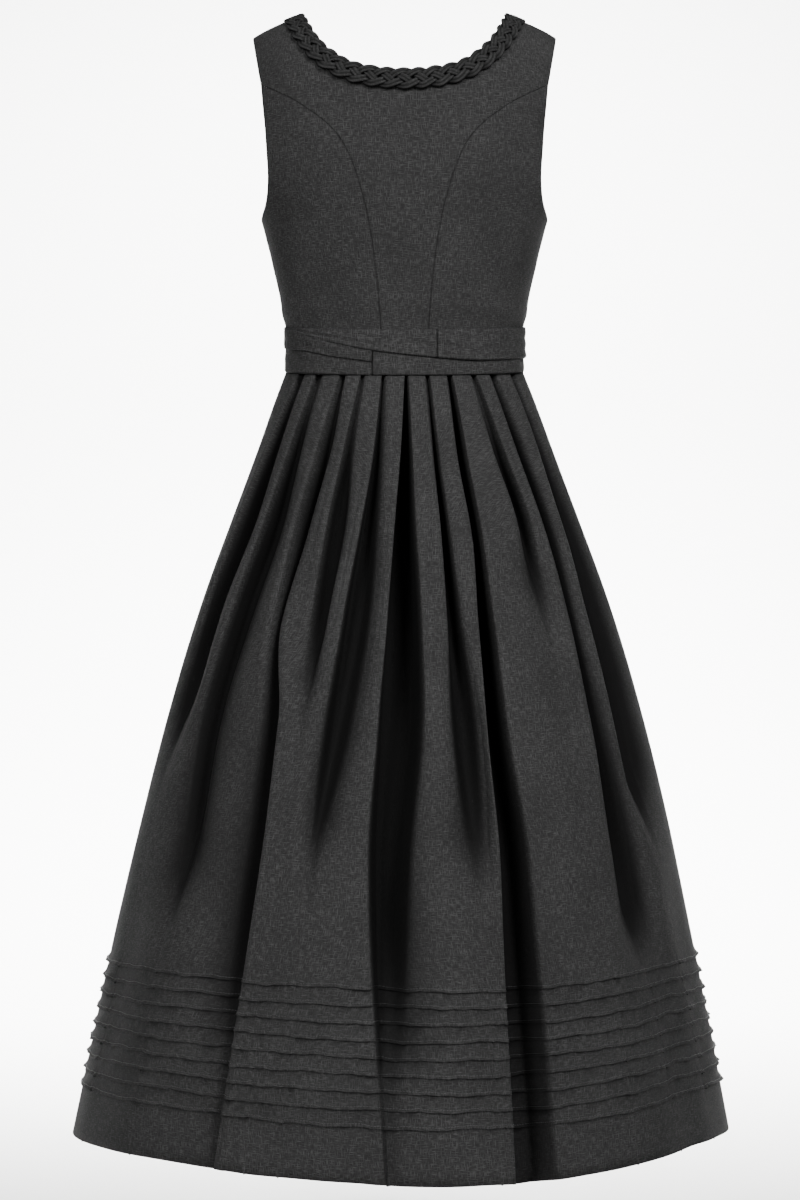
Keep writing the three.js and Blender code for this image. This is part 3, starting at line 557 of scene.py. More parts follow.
def sewing_thread(name, colour):
    """Spun polyester sewing thread: a little smoother and darker than the cloth it sinks into."""
    material, tree = empty_material(name)
    where = add_node(tree, "ShaderNodeTexCoord")
    twist = add_node(tree, "ShaderNodeTexNoise", {}, {
        "Vector": where.outputs["Object"], "Scale": 900.0, "Detail": 1.0,
    })
    ramp = add_node(tree, "ShaderNodeValToRGB", {}, {"Fac": twist.outputs["Fac"]})
    for stop, tone in zip(ramp.color_ramp.elements, (0.6, 1.3)):
        stop.color = toned(colour, tone)
    surface = add_node(tree, "ShaderNodeBsdfPrincipled", {}, {
        "Base Color": ramp.outputs["Color"], "Roughness": 0.6,
    })
    add_node(tree, "ShaderNodeOutputMaterial", {}, {"Surface": surface.outputs["BSDF"]})
    return material


# ---- bodice ----


def along_edges(parts):
    """A function giving places along joined curves. parts are (share at its end, fine points)."""
    at, points = [], []
    start = 0.0
    for end, fine in parts:
        at.append(np.linspace(start, end, len(fine)))
        points.append(fine)
        start = end
    at = np.concatenate(at)
    points = np.vstack(points)
    return lambda share: np.stack([np.interp(share, at, points[:, k]) for k in range(2)], axis=-1)


def bodice_edges(side):
    """Edge curves of the centre and side panels of the back or the front, as angle and rise."""
    seam_xz = BACK_SEAM if side < 0 else FRONT_SEAM
    armhole_xz = BACK_ARMHOLE if side < 0 else FRONT_ARMHOLE
    neck_xz = BACK_NECK if side < 0 else FRONT_NECK
    meets = armhole_xz.index(seam_xz[-1])
    shoulder = np.linspace((SHOULDER_NEAR["angle"], 90), (SHOULDER_FAR["angle"], 90), 60)

    def waist(angle):
        turn = angle if side < 0 else 180 - angle
        return np.stack([angle, waist_at(turn) - CLOSING], axis=-1)

    seam = place_on_bodice(smooth_curve(seam_xz, 160))
    seam[0] = waist(seam[0, 0])
    upper = place_on_bodice(smooth_curve(armhole_xz[: meets + 1], 80))[::-1].copy()
    upper[-1] = shoulder[-1]
    lower = place_on_bodice(smooth_curve(armhole_xz[meets:], 120))
    lower[-1] = (90, armhole_xz[-1][1] - CLOSING)
    neck = place_on_bodice(cubic_curve(neck_xz, 120))
    neck[-1] = shoulder[0]
    centre_line = np.linspace(waist(0.0), neck[0], 100)
    side_seam = np.linspace(waist(90.0), lower[-1], 60)
    return {
        "centre": {
            "bottom": along_edges([(1, waist(np.linspace(0, seam[0, 0], 60)))]),
            "top": along_edges([(1, shoulder)]),
            "start": along_edges([(NECK_SHARE, centre_line), (1, neck)]),
            "end": along_edges([(ARMHOLE_SHARE, seam), (1, upper)]),
        },
        "side": {
            "bottom": along_edges([(1, waist(np.linspace(seam[0, 0], 90, 60)))]),
            "top": along_edges([(1, lower)]),
            "start": along_edges([(1, seam)]),
            "end": along_edges([(1, side_seam)]),
        },
    }


def fill_between(edges, u, v):
    """Places between four edge curves at shares u across and v up."""
    bottom, top = edges["bottom"](u)[None], edges["top"](u)[None]
    start, end = edges["start"](v)[:, None], edges["end"](v)[:, None]
    u, v = u[None, :, None], v[:, None, None]
    below = bottom[:, :1] * (1 - u) + bottom[:, -1:] * u
    above = top[:, :1] * (1 - u) + top[:, -1:] * u
    return start * (1 - u) + end * u + bottom * (1 - v) + top * v - below * (1 - v) - above * v


def crowded(count):
    """Shares from 0 to 1, closer together at both ends, where an edge is turned in."""
    ends = np.array([0.004, 0.011, 0.02, 0.034])
    return np.concatenate([[0], ends, np.linspace(0.055, 0.945, count), 1 - ends[::-1], [1]])


def panel_part(side, edges, sizes, u, v, joined):
    """A panel's outside on the wearer's right, with its edges turned in and the cloth a little uneven.
    joined is the share of the first edge, from the waist up, that is no edge but the middle of the piece."""
    angle, rise = np.moveaxis(fill_between(edges, u, v), -1, 0)
    sides = np.full(angle.shape, side)
    points = bodice_points(sides, angle, rise)
    normals = bodice_normals(sides, angle, rise)
    across, up = run_along(points, 1), run_along(points)
    far_away = 99
    from_start = np.where((v >= joined)[:, None], across, far_away)
    from_end = across[:, -1:] - across
    groove = sizes.seam_groove_width * 1000
    turned_in = sum(bell(away, groove) for away in (from_start, from_end, up, up[-1:] - up))
    x, z = points[..., 0], points[..., 2]
    soft = 0.55 * ripple(z / 34 + x / 90, 3.1 + side) * ripple(x / 26, 1.3) - 0.25
    blouse = BLOUSING["out"] * bell(z - BLOUSING["z"], BLOUSING["tall"])
    out = 1 + soft + blouse - sizes.seam_groove * 1000 * np.minimum(turned_in, 1.0)
    points = points + normals * out[..., None]
    if joined:
        points[(v < joined), 0, 0] = 0
    mm_by_angle = 150
    mm_by_rise = np.where(rise > 0, 1.72, 1)
    flat = np.stack([mm_by_angle * np.radians(angle), rise * mm_by_rise], axis=-1)
    # Painted shade: a thin dark line along the panel's seams at its two sides.
    return points, flat, 0.55 * (bell(from_start, 0.7) + bell(from_end, 0.7))


def mirrored(part):
    grid, flat, painted_shade = part
    return grid * (-1, 1, 1), flat * (-1, 1), painted_shade


# ---- belt ----


def tie_part(tie):
    """A tie round the waist. In a pleated one, the cloth above the pleat is doubled over and stands out."""
    form = tie["form"]
    start, end = tie["start"] + TIE_GAP, tie["end"] - TIE_GAP
    turns = np.linspace(start, end, int((end - start) * TIE_STEPS))
    top = 0 * turns + form["height"]
    bottom = 0 * turns + SEAM_GAP
    if form is UPPER_TIE:
        bottom = BELT_HEIGHT - from_table(UPPER_TIE_EDGE, "turn", "drop", turns)
    edge = np.array([0, 0.012, 0.03, 0.06])
    if tie["pleated"]:
        fold = from_table(LOWER_TIE_PLEAT, "turn", "up", turns)
        lower = np.concatenate([edge, np.linspace(0.12, 0.93, 9), [0.985]])
        upper = np.concatenate([[0.0, 0.012, 0.05], np.linspace(0.12, 0.9, 9), 1 - edge[::-1]])
        heights = np.vstack([
            bottom + (fold - bottom) * lower[:, None],
            fold + (top - fold) * upper[:, None],
        ])
        doubled = np.concatenate([0 * lower, [0.6], 0 * upper[1:] + 1])[:, None] + 0 * heights
        below_fold = bell(fold - heights - 0.5, TIE_EDGE) * (doubled < 0.5)
    else:
        share = np.concatenate([edge, np.linspace(0.1, 0.9, 17), 1 - edge[::-1]])
        heights = bottom + (top - bottom) * share[:, None]
        doubled = below_fold = 0 * heights

    width = (top - bottom)[None]
    from_low, from_high = heights - bottom, top - heights
    v = from_low / width
    seed, roll = tie["seed"], form["roll"]
    pressed = (1 + 2 * roll) * bell(from_low, TIE_EDGE) + bell(from_high, TIE_EDGE)

    # Creases drag slantwise along the tie, and it is loose here and there.
    drag = np.sin(2 * np.pi * (2.6 * v + turns / 47 + seed)) * np.sin(np.pi * v)
    drag = drag * (0.35 + 0.35 * ripple(turns / 13, seed))
    loose = 0.5 * ripple(turns / 9 + 2 * v, seed + 2)
    belly = roll * np.exp(-from_low / 7) * np.clip(width / 28, 0.1, 1) + 1.6 * bell(heights, 16)
    lift = form["lift"] * np.clip(width / 16, 0.6, 1)
    out = lift + 0.35 * np.sin(np.pi * v) + drag + 0.4 * loose + belly + 1.3 * doubled - 0.6 * pressed

    # The belt lies straight from the waist seam to its top edge.
    round_about = np.broadcast_to(turns, heights.shape)
    foot, foot_normal = around_bodice(round_about, waist_at(round_about))
    head, head_normal = around_bodice(round_about, waist_at(round_about) + BELT_HEIGHT)
    share = (heights / BELT_HEIGHT)[..., None]
    normals = unit(foot_normal * (1 - share) + head_normal * share)
    points = foot * (1 - share) + head * share + normals * out[..., None]
    mm_by_turn = 1.92
    flat = np.stack([round_about * mm_by_turn, heights], axis=-1)
    from_ends = np.minimum(turns - start, end - turns)[None] * 2.2
    # Painted shade under the doubled cloth above the pleat, along the tie's edges and at its ends.
    painted_shade = 0.8 * below_fold + 0.5 * bell(from_low, TIE_EDGE) + 0.4 * bell(from_high, 0.6)
    return points, flat, painted_shade + 0.5 * bell(from_ends, TIE_EDGE)


# ---- plait ----


def neckline_ring():
    """The neckline all the way round, from centre back past the wearer's right shoulder: which side each
    place is on, its angle and rise, the way along the cloth that leads away from the neck, and its length."""
    halves = []
    for handles in (BACK_NECK, FRONT_NECK):
        places = place_on_bodice(cubic_curve(handles, 400))
        places[-1] = (SHOULDER_NEAR["angle"], 90)
        halves.append(places)
    back, front = halves
    flip = np.array([-1, 1])
    parts = [(-1, back), (1, front[::-1]), (1, front[1:] * flip), (-1, back[1:][::-1] * flip)]
    places = np.vstack([part for _, part in parts])
    sides = np.concatenate([np.full(len(part), float(side)) for side, part in parts])
    run = run_along(bodice_points(sides, places[:, 0], places[:, 1]))
    at = np.linspace(0, run[-1], PLAIT["rings"], endpoint=False)
    pick = np.searchsorted(run, at, side="right") - 1
    part = ((at - run[pick]) / (run[pick + 1] - run[pick]))[:, None]
    places = places[pick] * (1 - part) + places[pick + 1] * part
    sides = sides[pick]
    points = bodice_points(sides, places[:, 0], places[:, 1])
    along = unit(np.roll(points, -1, axis=0) - np.roll(points, 1, axis=0))
    outward = unit(np.cross(along, bodice_normals(sides, places[:, 0], places[:, 1])))
    return sides, places, -outward if outward[0, 2] > 0 else outward, run[-1]


def strand_swing(phase):
    """Sideways place of a strand from -1 to 1 as it crosses the plait and comes back."""
    straight = np.arcsin(0.95 * np.cos(2 * np.pi * phase)) / math.asin(0.95)
    return 0.5 * straight + 0.5 * np.cos(2 * np.pi * phase)


def strand_height(phase):
    """Over and under: +1 where the strand lies on top of the one it crosses and -1 where it lies below."""
    knots = np.array([-0.125, 0.125, 0.25, 0.375, 0.625, 0.75, 0.875, 1.125])
    values = np.array([-1, 1, -1, 1, -1, 1, -1, 1.0])
    at = phase % 1
    row = np.clip(np.searchsorted(knots, at, side="right") - 1, 0, len(knots) - 2)
    t = (at - knots[row]) / (knots[row + 1] - knots[row])
    blend = (1 - np.cos(np.pi * t)) / 2
    return values[row] + (values[row + 1] - values[row]) * blend


def plait_strand(number, sizes):
    """One folded strip of cloth, as rings of points, that weaves its way round the neckline."""
    sides, places, outward, length = neckline_ring()
    wide, thick = sizes.strand_width * 1000, sizes.strand_thickness * 1000
    share = np.arange(PLAIT["rings"]) / PLAIT["rings"]
    repeats = round(length / (sizes.strand_repeat * 1000))
    phase = share * repeats + number / PLAIT["strands"] + 0.012 * ripple(share * 40, number)
    swing = (PLAIT["width"] - wide) / 2
    middle = PLAIT["width"] / 2 - PLAIT["above"]
    reach = middle + swing * strand_swing(phase) + 0.35 * ripple(share * 75, number + 4)
    points, normals = step_on_bodice(sides, places, outward, reach)
    flattened = 1 - 0.65 * bell(places[:, 1] - 90, 35)  # where it crosses the shoulder seams
    over = PLAIT["lift"] + thick + 0.5 * thick * strand_height(phase)
    points = points + normals * (over * flattened)[:, None]
    ahead = unit(np.roll(points, -1, axis=0) - np.roll(points, 1, axis=0))
    across = unit(np.cross(normals, ahead))
    upward = unit(np.cross(ahead, across))

    # Across, a strand is rounder than a box and squarer than an oval, with a crease down its upper side.
    around = np.linspace(0, 2 * np.pi, PLAIT["round"], endpoint=False)
    w, h = (np.sign(part) * np.abs(part) ** 0.8 for part in (np.cos(around), np.sin(around)))
    creased = np.where(h > 0, 1 - 0.9 * bell(w, 0.27), 1)
    half = 0.5 * wide * (1 + 0.07 * ripple(share * 60, number + 8))[:, None]
    high = thick * 0.5 * h * creased
    rings = points[:, None] + across[:, None] * (half * w)[..., None] + upward[:, None] * high[:, None]
    strip_length, strip_width, strip_apart = length * 1.25, 20, 30
    run = np.linspace(0, strip_length, len(share))[:, None] + 0 * around
    over_strip = around / (2 * np.pi) * strip_width + number * strip_apart
    flat = np.stack([np.broadcast_to(over_strip, run.shape), run], axis=-1)
    # Painted shade where a strand runs under the one it crosses, in its crease, on its underside and along
    # its sides.
    buried = smoothstep(-strand_height(phase), -0.3, 0.9)[:, None]
    edge = smoothstep(np.abs(w), 0.6, 0.97)
    painted_shade = 0.75 * buried + 0.9 * (1 - creased) + 0.7 * smoothstep(-h, -0.5, 0.3) + 0.55 * edge
    return rings, flat, painted_shade


# ---- skirt ----


def skirt_form(turn, share):
    """The skirt's outside between its folds."""
    fall = share * FALL
    facing = np.cos(np.radians(turn))
    aside = np.sin(np.radians(turn))
    half, back, front, shift = (
        from_table(SKIRT, "fall", column, fall) for column in ("half", "back", "front", "shift")
    )
    depth = np.where(facing > 0, back, front)
    power = OVAL_WAIST + (OVAL_HEM - OVAL_WAIST) * share
    y = -np.sign(facing) * depth * np.maximum(1 - np.abs(aside) ** power, 0) ** (1 / power)
    hem = HEM + HEM_DROP_CORNER * np.sin(2 * np.radians(turn)) ** 2 + HEM_DROP_SIDE * aside * aside
    hem = hem + from_table(HEM_LINE, "turn", "up", turn)
    z = (waist_at(turn) - SEAM_GAP) * (1 - share) + hem * share
    return np.stack([half * aside + shift, y, z], axis=-1)


def way_round(turn, share):
    return skirt_form(turn + NUDGE, share) - skirt_form(turn - NUDGE, share)


def turn_per_mm(turn, share):
    return 2 * NUDGE / np.linalg.norm(way_round(turn, share), axis=-1)


def skirt_outward(turn, share):
    """Level direction straight out of the skirt."""
    along = way_round(turn, share)
    return unit(np.stack([along[..., 1], -along[..., 0], 0 * along[..., 0]], axis=-1))


def tuck_rows(sizes):
    """Shares of the way down for every row of the skirt, and each row's place in the profile of a tuck:
    which tuck it is in (-1 for none) and how far out it stands there."""
    last = FALL - sizes.hem_depth * 1000
    lips = last - sizes.tuck_spacing * 1000 * np.arange(sizes.tuck_count)[::-1]
    upper = np.linspace(0, 1, ROWS_ABOVE_TUCKS) ** 1.25 * (lips[0] - 10)
    rows = [(fall, -1, 0.0) for fall in upper]
    for number, lip in enumerate(lips):
        rows += [(lip + down, number, out) for down, out in TUCK_PROFILE]
    rows += [(fall, -1, 0.0) for fall in np.linspace(last + 6, FALL, 5)]
    falls, tucks, outs = (np.array(column, float) for column in zip(*rows))
    return falls / FALL, tucks.astype(int), outs


def fold_columns(folds, start, end, share):
    """Places round the skirt at each share of the way down, crowded into its folds: the turn of each, how
    far it sinks in, how far in turn it slides sideways there, and how sharply the cloth is pressed."""
    tables = {
        key: np.stack([smooth_values(FOLD_SHARES, fold[key], share) for fold in folds])
        for key in ("turns", "open", "left", "right")
    }
    centre, half_open = tables["turns"], tables["open"] / 2
    per_mm = turn_per_mm(centre, share[None])
    opening = FOLD_AT_WAIST + (1 - FOLD_AT_WAIST) * smoothstep(share, 0, FOLD_OPENS_BY)
    fade = np.stack([1 - smoothstep(share, f["ends"] - FOLD_FADE, f["ends"] + 0.04) for f in folds])
    left_over = np.stack([1 - (1 - f["at_hem"]) * smoothstep(share, *FOLD_SHUTS) for f in folds])
    depth = np.array([f["deep"] for f in folds])[:, None] * opening * fade * left_over

    # The softer a fold is, and it is softer where it runs out, the longer is the roll of cloth into it and
    # the further back the panel lies beside it. These have a row for the left side and one for the right.
    soft = np.clip(np.stack([tables["left"], tables["right"]]) + 0.5 * (1 - fade), 0, 1.6)
    roll = np.minimum(2.2 + 16 * soft, 1.6 + 1.5 * half_open + 6 * soft)
    back = np.minimum((0.8 + 9 * soft) * opening, 0.6 * depth)
    left_edge = centre - (half_open + ROLL_OUTSIDE * roll[0]) * per_mm
    right_edge = centre + (half_open + ROLL_OUTSIDE * roll[1]) * per_mm
    nothing = 0 * share
    first, last = np.full_like(share, start), np.full_like(share, end)
    bounds = [first, *((right_edge[:-1] + left_edge[1:]) / 2), last]
    panel_starts, panel_ends = np.vstack([first, right_edge]), np.vstack([left_edge, last])
    after_fold, before_fold = np.vstack([nothing, back[1]]), np.vstack([back[0], nothing])

    def panel_sink(panel, place):
        """How far a panel lies back between two folds: it comes out from under one and over the next."""
        wide = np.maximum(panel_ends[panel] - panel_starts[panel], 1e-6)
        along = np.clip((place - panel_starts[panel]) / wide, 0, 1)
        return after_fold[panel] * (1 - along) ** 2 + before_fold[panel] * along**2

    # Places lie closer together towards a fold's edges and in the roll of cloth into it.
    outside = np.array([0.8, 0.6, 0.42, 0.27, 0.15, 0.06])
    rolling = np.array([0, 0.12, 0.28, 0.44, 0.6, 0.78, 1.0])
    floor = (0.33, 0.67)
    lip = 2.5 + 5 * share  # width of the pressed edge, which stands out most a little beside the fold
    columns = [(first, panel_sink(0, first), nothing, nothing)]
    for k, fold in enumerate(folds):
        low, high, before, after = left_edge[k], right_edge[k], bounds[k], bounds[k + 1]
        inner_left = low + roll[0, k] * per_mm[k]
        inner_right = high - roll[1, k] * per_mm[k]
        clash = np.maximum(inner_left - inner_right, 0)
        inner_left, inner_right = inner_left - clash / 2, inner_right + clash / 2
        stops = [low + (before - low) * part for part in outside]
        stops += [low + (inner_left - low) * part for part in rolling]
        stops += [inner_left + (inner_right - inner_left) * part for part in floor]
        stops += [high + (inner_right - high) * part for part in rolling[::-1]]
        stops += [high + (after - high) * part for part in outside[::-1]]
        for stop in stops:
            fall_left = smoothstep((stop - low) / np.maximum(inner_left - low, 1e-6), 0, 1)
            fall_right = smoothstep((high - stop) / np.maximum(high - inner_right, 1e-6), 0, 1)
            inside = fall_left * fall_right
            panel = np.where(stop < centre[k], panel_sink(k, stop), panel_sink(k + 1, stop))
            across = (stop - centre[k]) / (high - low) * 2
            blended = back[0, k] + (back[1, k] - back[0, k]) * smoothstep(across, -1, 1)
            sink = (depth[k] - blended) * inside + (panel * (1 - inside) + blended * inside)
            slide = fold["lean"] * depth[k] * inside * per_mm[k]
            pressed = sum(
                (1 - soft[edge, k]) * bell(away / per_mm[k] - 1.3 * lip, lip) * (away > 0)
                for edge, away in enumerate((low - stop, stop - high))
            )
            columns.append((stop, sink, slide, np.clip(pressed, 0, 1) * opening * fade[k]))
        columns.append((after, panel_sink(k + 1, after), nothing, nothing))
    return (np.stack(column, axis=1) for column in zip(*columns))


def skirt_part(folds, start, end, sizes):
    """One half of the skirt: its folds, its soft forms and the tucks above its hem."""
    share, tuck, tuck_out = tuck_rows(sizes)
    turn, sink, slide, crisp = fold_columns(folds, start, end, share)
    level = share[:, None] + 0 * turn
    aside = np.abs(np.sin(np.radians(turn)))

    out = 1 + sizes.pressed_edge * 1000 * crisp - sink
    for form in SOFT_FORMS:
        away = (turn - form["turn"]) / turn_per_mm(np.full_like(turn, form["turn"]), level) / form["wide"]
        down = (level - form["share"]) / form["tall"]
        out = out + form["out"] * np.exp(-0.5 * (away**2 + down**2))
    out = out + 0.9 * level * ripple(turn / 5.5 + 3 * level, 2.0) * ripple(level * 9, 5.0)

    # Each tuck stands out unevenly, less inside a fold and more on a pressed edge, and wanders up and down.
    in_tuck = (tuck >= 0)[:, None]
    number = np.maximum(tuck, 0)[:, None]
    shallow = 1 - 0.35 * np.clip(sink / 25, 0, 1)
    uneven = 1 + 0.4 * ripple(turn / 2.6, number * 2.7) + 0.25 * np.sin(turn * 2.9 + 2 * number)
    proud = 1 + 0.9 * crisp + 0.6 * aside**8
    out = out + sizes.tuck_height * 1000 * tuck_out[:, None] * uneven * shallow * proud
    wander = 1.2 * ripple(turn / 7.5, number * 1.9 + 4) + 0.9 * ripple(turn / 1.4, number * 0.7)
    points = skirt_form(turn + slide, level) + skirt_outward(turn, level) * out[..., None]
    points[..., 2] += wander * in_tuck - SAG * sink * level**2
    length = run_along(points, 1)
    middle = length[:, length.shape[1] // 2][:, None]
    flat = np.stack([length - middle, -level * FALL], axis=-1)

    # Painted shade darkens the cloth inside the folds, the deeper the darker and less near the hem, and, in
    # patches, just under a tuck's lip.
    above = np.roll(tuck_out, 1)
    shade_under_lip = (tuck >= 0) & (tuck_out < 0.8) & (above > 0.05) & (above > tuck_out)
    patchy = np.clip(0.08 + 0.4 * ripple(turn / 1.3, number * 3.3 + 1), 0, 0.6)
    full_shade = 19 - 10 * aside**4  # the depth at which a fold is darkest
    fold_shade = smoothstep(sink, 1.5, full_shade) * (1 - 0.35 * smoothstep(level, 0.7, 0.95))
    return points, flat, fold_shade + patchy * shade_under_lip[:, None]


# ---- stitches ----


def stitch_tree(material):
    """A row of short stitches laid end to end along the edges of a mesh."""
    tree = bpy.data.node_groups.new("rows of stitches", "GeometryNodeTree")
    tree.interface.new_socket("Paths", in_out="INPUT", socket_type="NodeSocketGeometry")
    for size, default in (("Stitch pitch", 0.003), ("Stitch length", 0.0022), ("Thread radius", 0.0002)):
        socket = tree.interface.new_socket(size, in_out="INPUT", socket_type="NodeSocketFloat")
        socket.default_value = default
    tree.interface.new_socket("Stitches", in_out="OUTPUT", socket_type="NodeSocketGeometry")
    given = add_node(tree, "NodeGroupInput").outputs
    curve = add_node(tree, "GeometryNodeMeshToCurve", {}, {"Mesh": given["Paths"]})
    spaced_out = add_node(tree, "GeometryNodeResampleCurve", {"mode": "LENGTH"}, {
        "Curve": curve.outputs["Curve"], "Length": given["Stitch pitch"],
    })
    stitch = add_node(tree, "GeometryNodeMeshCylinder", {"fill_type": "NONE"}, {
        "Vertices": 5, "Radius": given["Thread radius"], "Depth": given["Stitch length"],
    })
    heading = add_node(tree, "GeometryNodeInputTangent")
    turned = add_node(tree, "FunctionNodeAlignRotationToVector", {"axis": "Z"}, {
        "Vector": heading.outputs["Tangent"],
    })
    placed = add_node(tree, "GeometryNodeInstanceOnPoints", {}, {
        "Points": spaced_out.outputs["Curve"],
        "Instance": stitch.outputs["Mesh"],
        "Rotation": turned.outputs["Rotation"],
    })
    realized = add_node(tree, "GeometryNodeRealizeInstances", {}, {"Geometry": placed.outputs["Instances"]})
    finished = add_node(tree, "GeometryNodeSetMaterial", {}, {
        "Geometry": realized.outputs["Geometry"], "Material": material,
    })
    add_node(tree, "NodeGroupOutput", {}, {"Stitches": finished.outputs["Geometry"]})
    return tree


def sewn_rows(name, paths, sizes, material):
    """Stitches along paths of points in millimetres, as a plain mesh."""
    first, edges = 0, []
    for path in paths:
        edges += [(first + k, first + k + 1) for k in range(len(path) - 1)]
        first += len(path)
    mesh = bpy.data.meshes.new(name + " paths")
    mesh.from_pydata((np.vstack(paths) / 1000).tolist(), edges, [])
    guide = place_object(name + " paths", mesh)
    tree = stitch_tree(material)
    rows = guide.modifiers.new("stitches", "NODES")
    rows.node_group = tree
    values = {
        "Stitch pitch": sizes.stitch_pitch,
        "Stitch length": sizes.stitch_pitch * STITCH_SHARE,
        "Thread radius": sizes.thread_radius,
    }
    for item in tree.interface.items_tree:
        if item.name in values:
            rows[item.identifier] = values[item.name]
    bpy.context.view_layer.update()
    depsgraph = bpy.context.evaluated_depsgraph_get()
    plain = bpy.data.meshes.new_from_object(guide.evaluated_get(depsgraph))
    bpy.data.objects.remove(guide)
    plain.name = name
    return place_object(name, plain)


# ---- what a user would change ----


def number(name, description, default, unit="NONE"):
    return FloatProperty(name=name, description=description, default=default, unit=unit)


def length(name, description, default):
    return number(name, description, default, "LENGTH")


def colour(name, description, hex_colour):
    return FloatVectorProperty(
        name=name, description=description, default=linear(hex_colour), subtype="COLOR", min=0, max=1,
    )


class DIRNDL_PG_cloth(bpy.types.PropertyGroup):
    yarn_colour: colour("Yarn colour", "Main colour of the cloth", "#222222")
    thread_colour: colour("Sewing thread", "Colour of the sewing thread", "#1c1c1d")
    thread_spacing: length(
        "Fleck width", "Width of a fleck; the real threads, 0.5 mm apart, are too fine to show", 0.0010,
    )
    slub_length: length("Slub length", "Length of a fleck along its thread", 0.007)
    cloud_size: length("Cloud size", "Size of the faint uneven patches of dye", 0.06)
    nap: number("Nap", "Strength of the weave's relief", 0.55)
    sheen: number("Sheen", "How much the nap catches light", 0.0)
    wall: length("Cloth thickness", "Thickness of one layer with its turnings", 0.0013)


class DIRNDL_PG_bodice(bpy.types.PropertyGroup):
    seam_groove: length("Seam depth", "How far a seam sinks into the cloth", 0.0006)
    seam_groove_width: length("Seam width", "How far from a seam the cloth starts to sink", 0.0011)


class DIRNDL_PG_plait(bpy.types.PropertyGroup):
    strand_width: length("Strand width", "Width of one folded strip", 0.0073)
    strand_thickness: length("Strand thickness", "Thickness of one folded strip", 0.0030)
    strand_repeat: length("Strand repeat", "Length in which a strand crosses the plait and comes back", 0.062)


class DIRNDL_PG_skirt(bpy.types.PropertyGroup):
    tuck_count: IntProperty(name="Tucks", description="Pin tucks above the hem", default=9, min=1)
    tuck_spacing: length("Tuck spacing", "Distance from one tuck to the next", 0.0163)
    tuck_height: length("Tuck height", "How far a tuck stands out", 0.0019)
    hem_depth: length("Hem depth", "Plain cloth below the last tuck", 0.053)
    pressed_edge: length("Pressed edge", "How far the pressed edge of a pleat stands proud", 0.0016)
    stitch_pitch: length("Stitch pitch", "Distance from one stitch to the next", 0.0031)
    thread_radius: length("Thread radius", "Radius of the sewing thread", 0.0002)


class DIRNDL_PG_stage(bpy.types.PropertyGroup):
    floor_height: length("Floor height", "Height of the floor below the shoulders", -1.38)
    paper_colour: colour("Paper colour", "Colour of the floor and backdrop", "#f4f4f3")
    camera_distance: length("Camera distance", "From the camera to the middle of the dress", 3.3)
    lens: number("Lens", "Focal length in mm", 92.5)
    soft_light: number("Soft light", "Power of the stronger large soft light in watts", 34.0)
    backdrop_light: number("Backdrop light", "Power of the light on the backdrop in watts", 480.0)
    room_light: number("Room light", "Strength of the light from all round", 0.25)


# ---- operators ----


class DIRNDL_OT_bodice(bpy.types.Operator):
    """Cut and join the seven panels of the bodice"""

    bl_idname = "dirndl.bodice"
    bl_label = "Bodice panels"

    def execute(self, context):
        sizes, finish = context.scene.dirndl_bodice, context.scene.dirndl_cloth
        cloth = melange_cloth("linen and wool cloth, bodice", finish)
        edges = {side: bodice_edges(side) for side in (-1, 1)}
        across = crowded(PANEL_COLUMNS)
        rows = {part: crowded(count) for part, count in PANEL_ROWS.items()}
        rows["centre"] = np.union1d(rows["centre"], [NECK_SHARE, ARMHOLE_SHARE])
        for panel in PANELS:
            name, side, part = panel["name"], panel["side"], panel["part"]
            whole = name == "bodice_back_center"
            joined = NECK_SHARE if whole else 0.0
            right = panel_part(side, edges[side][part], sizes, across, rows[part], joined)
            left = mirrored(right)
            nodes = {name: [right, left]} if whole else {f"{name}_right": [right], f"{name}_left": [left]}
            for node, parts in nodes.items():
                piece = sheet_piece(f"{node}_cloth", parts, finish.wall * 1000, cloth)
                dress_piece(piece, node)
        return {"FINISHED"}


class DIRNDL_OT_plait(bpy.types.Operator):
    """Plait four folded strips of cloth round the neckline"""

    bl_idname = "dirndl.plait"
    bl_label = "Neckline plait"

    def execute(self, context):
        sizes, finish = context.scene.dirndl_plait, context.scene.dirndl_cloth
        cloth = melange_cloth("linen and wool cloth, plaited strips", finish, fleck=0.8)
        strands = [plait_strand(number, sizes) for number in range(PLAIT["strands"])]
        piece = mesh_piece("neck_plait_strips", strands, cloth, closed=True)
        turn_outwards(piece)
        dress_piece(piece, "neck_plait")
        return {"FINISHED"}


class DIRNDL_OT_belt(bpy.types.Operator):
    """Wrap the two crossing ties round the waist"""

    bl_idname = "dirndl.belt"
    bl_label = "Tie belt"

    def execute(self, context):
        cloth = melange_cloth("linen and wool cloth, ties", context.scene.dirndl_cloth, fleck=1.1)
        for tie in TIES:
            piece = sheet_piece(f"{tie['name']}_cloth", [tie_part(tie)], TIE_WALL, cloth)
            dress_piece(piece, tie["name"])
        return {"FINISHED"}


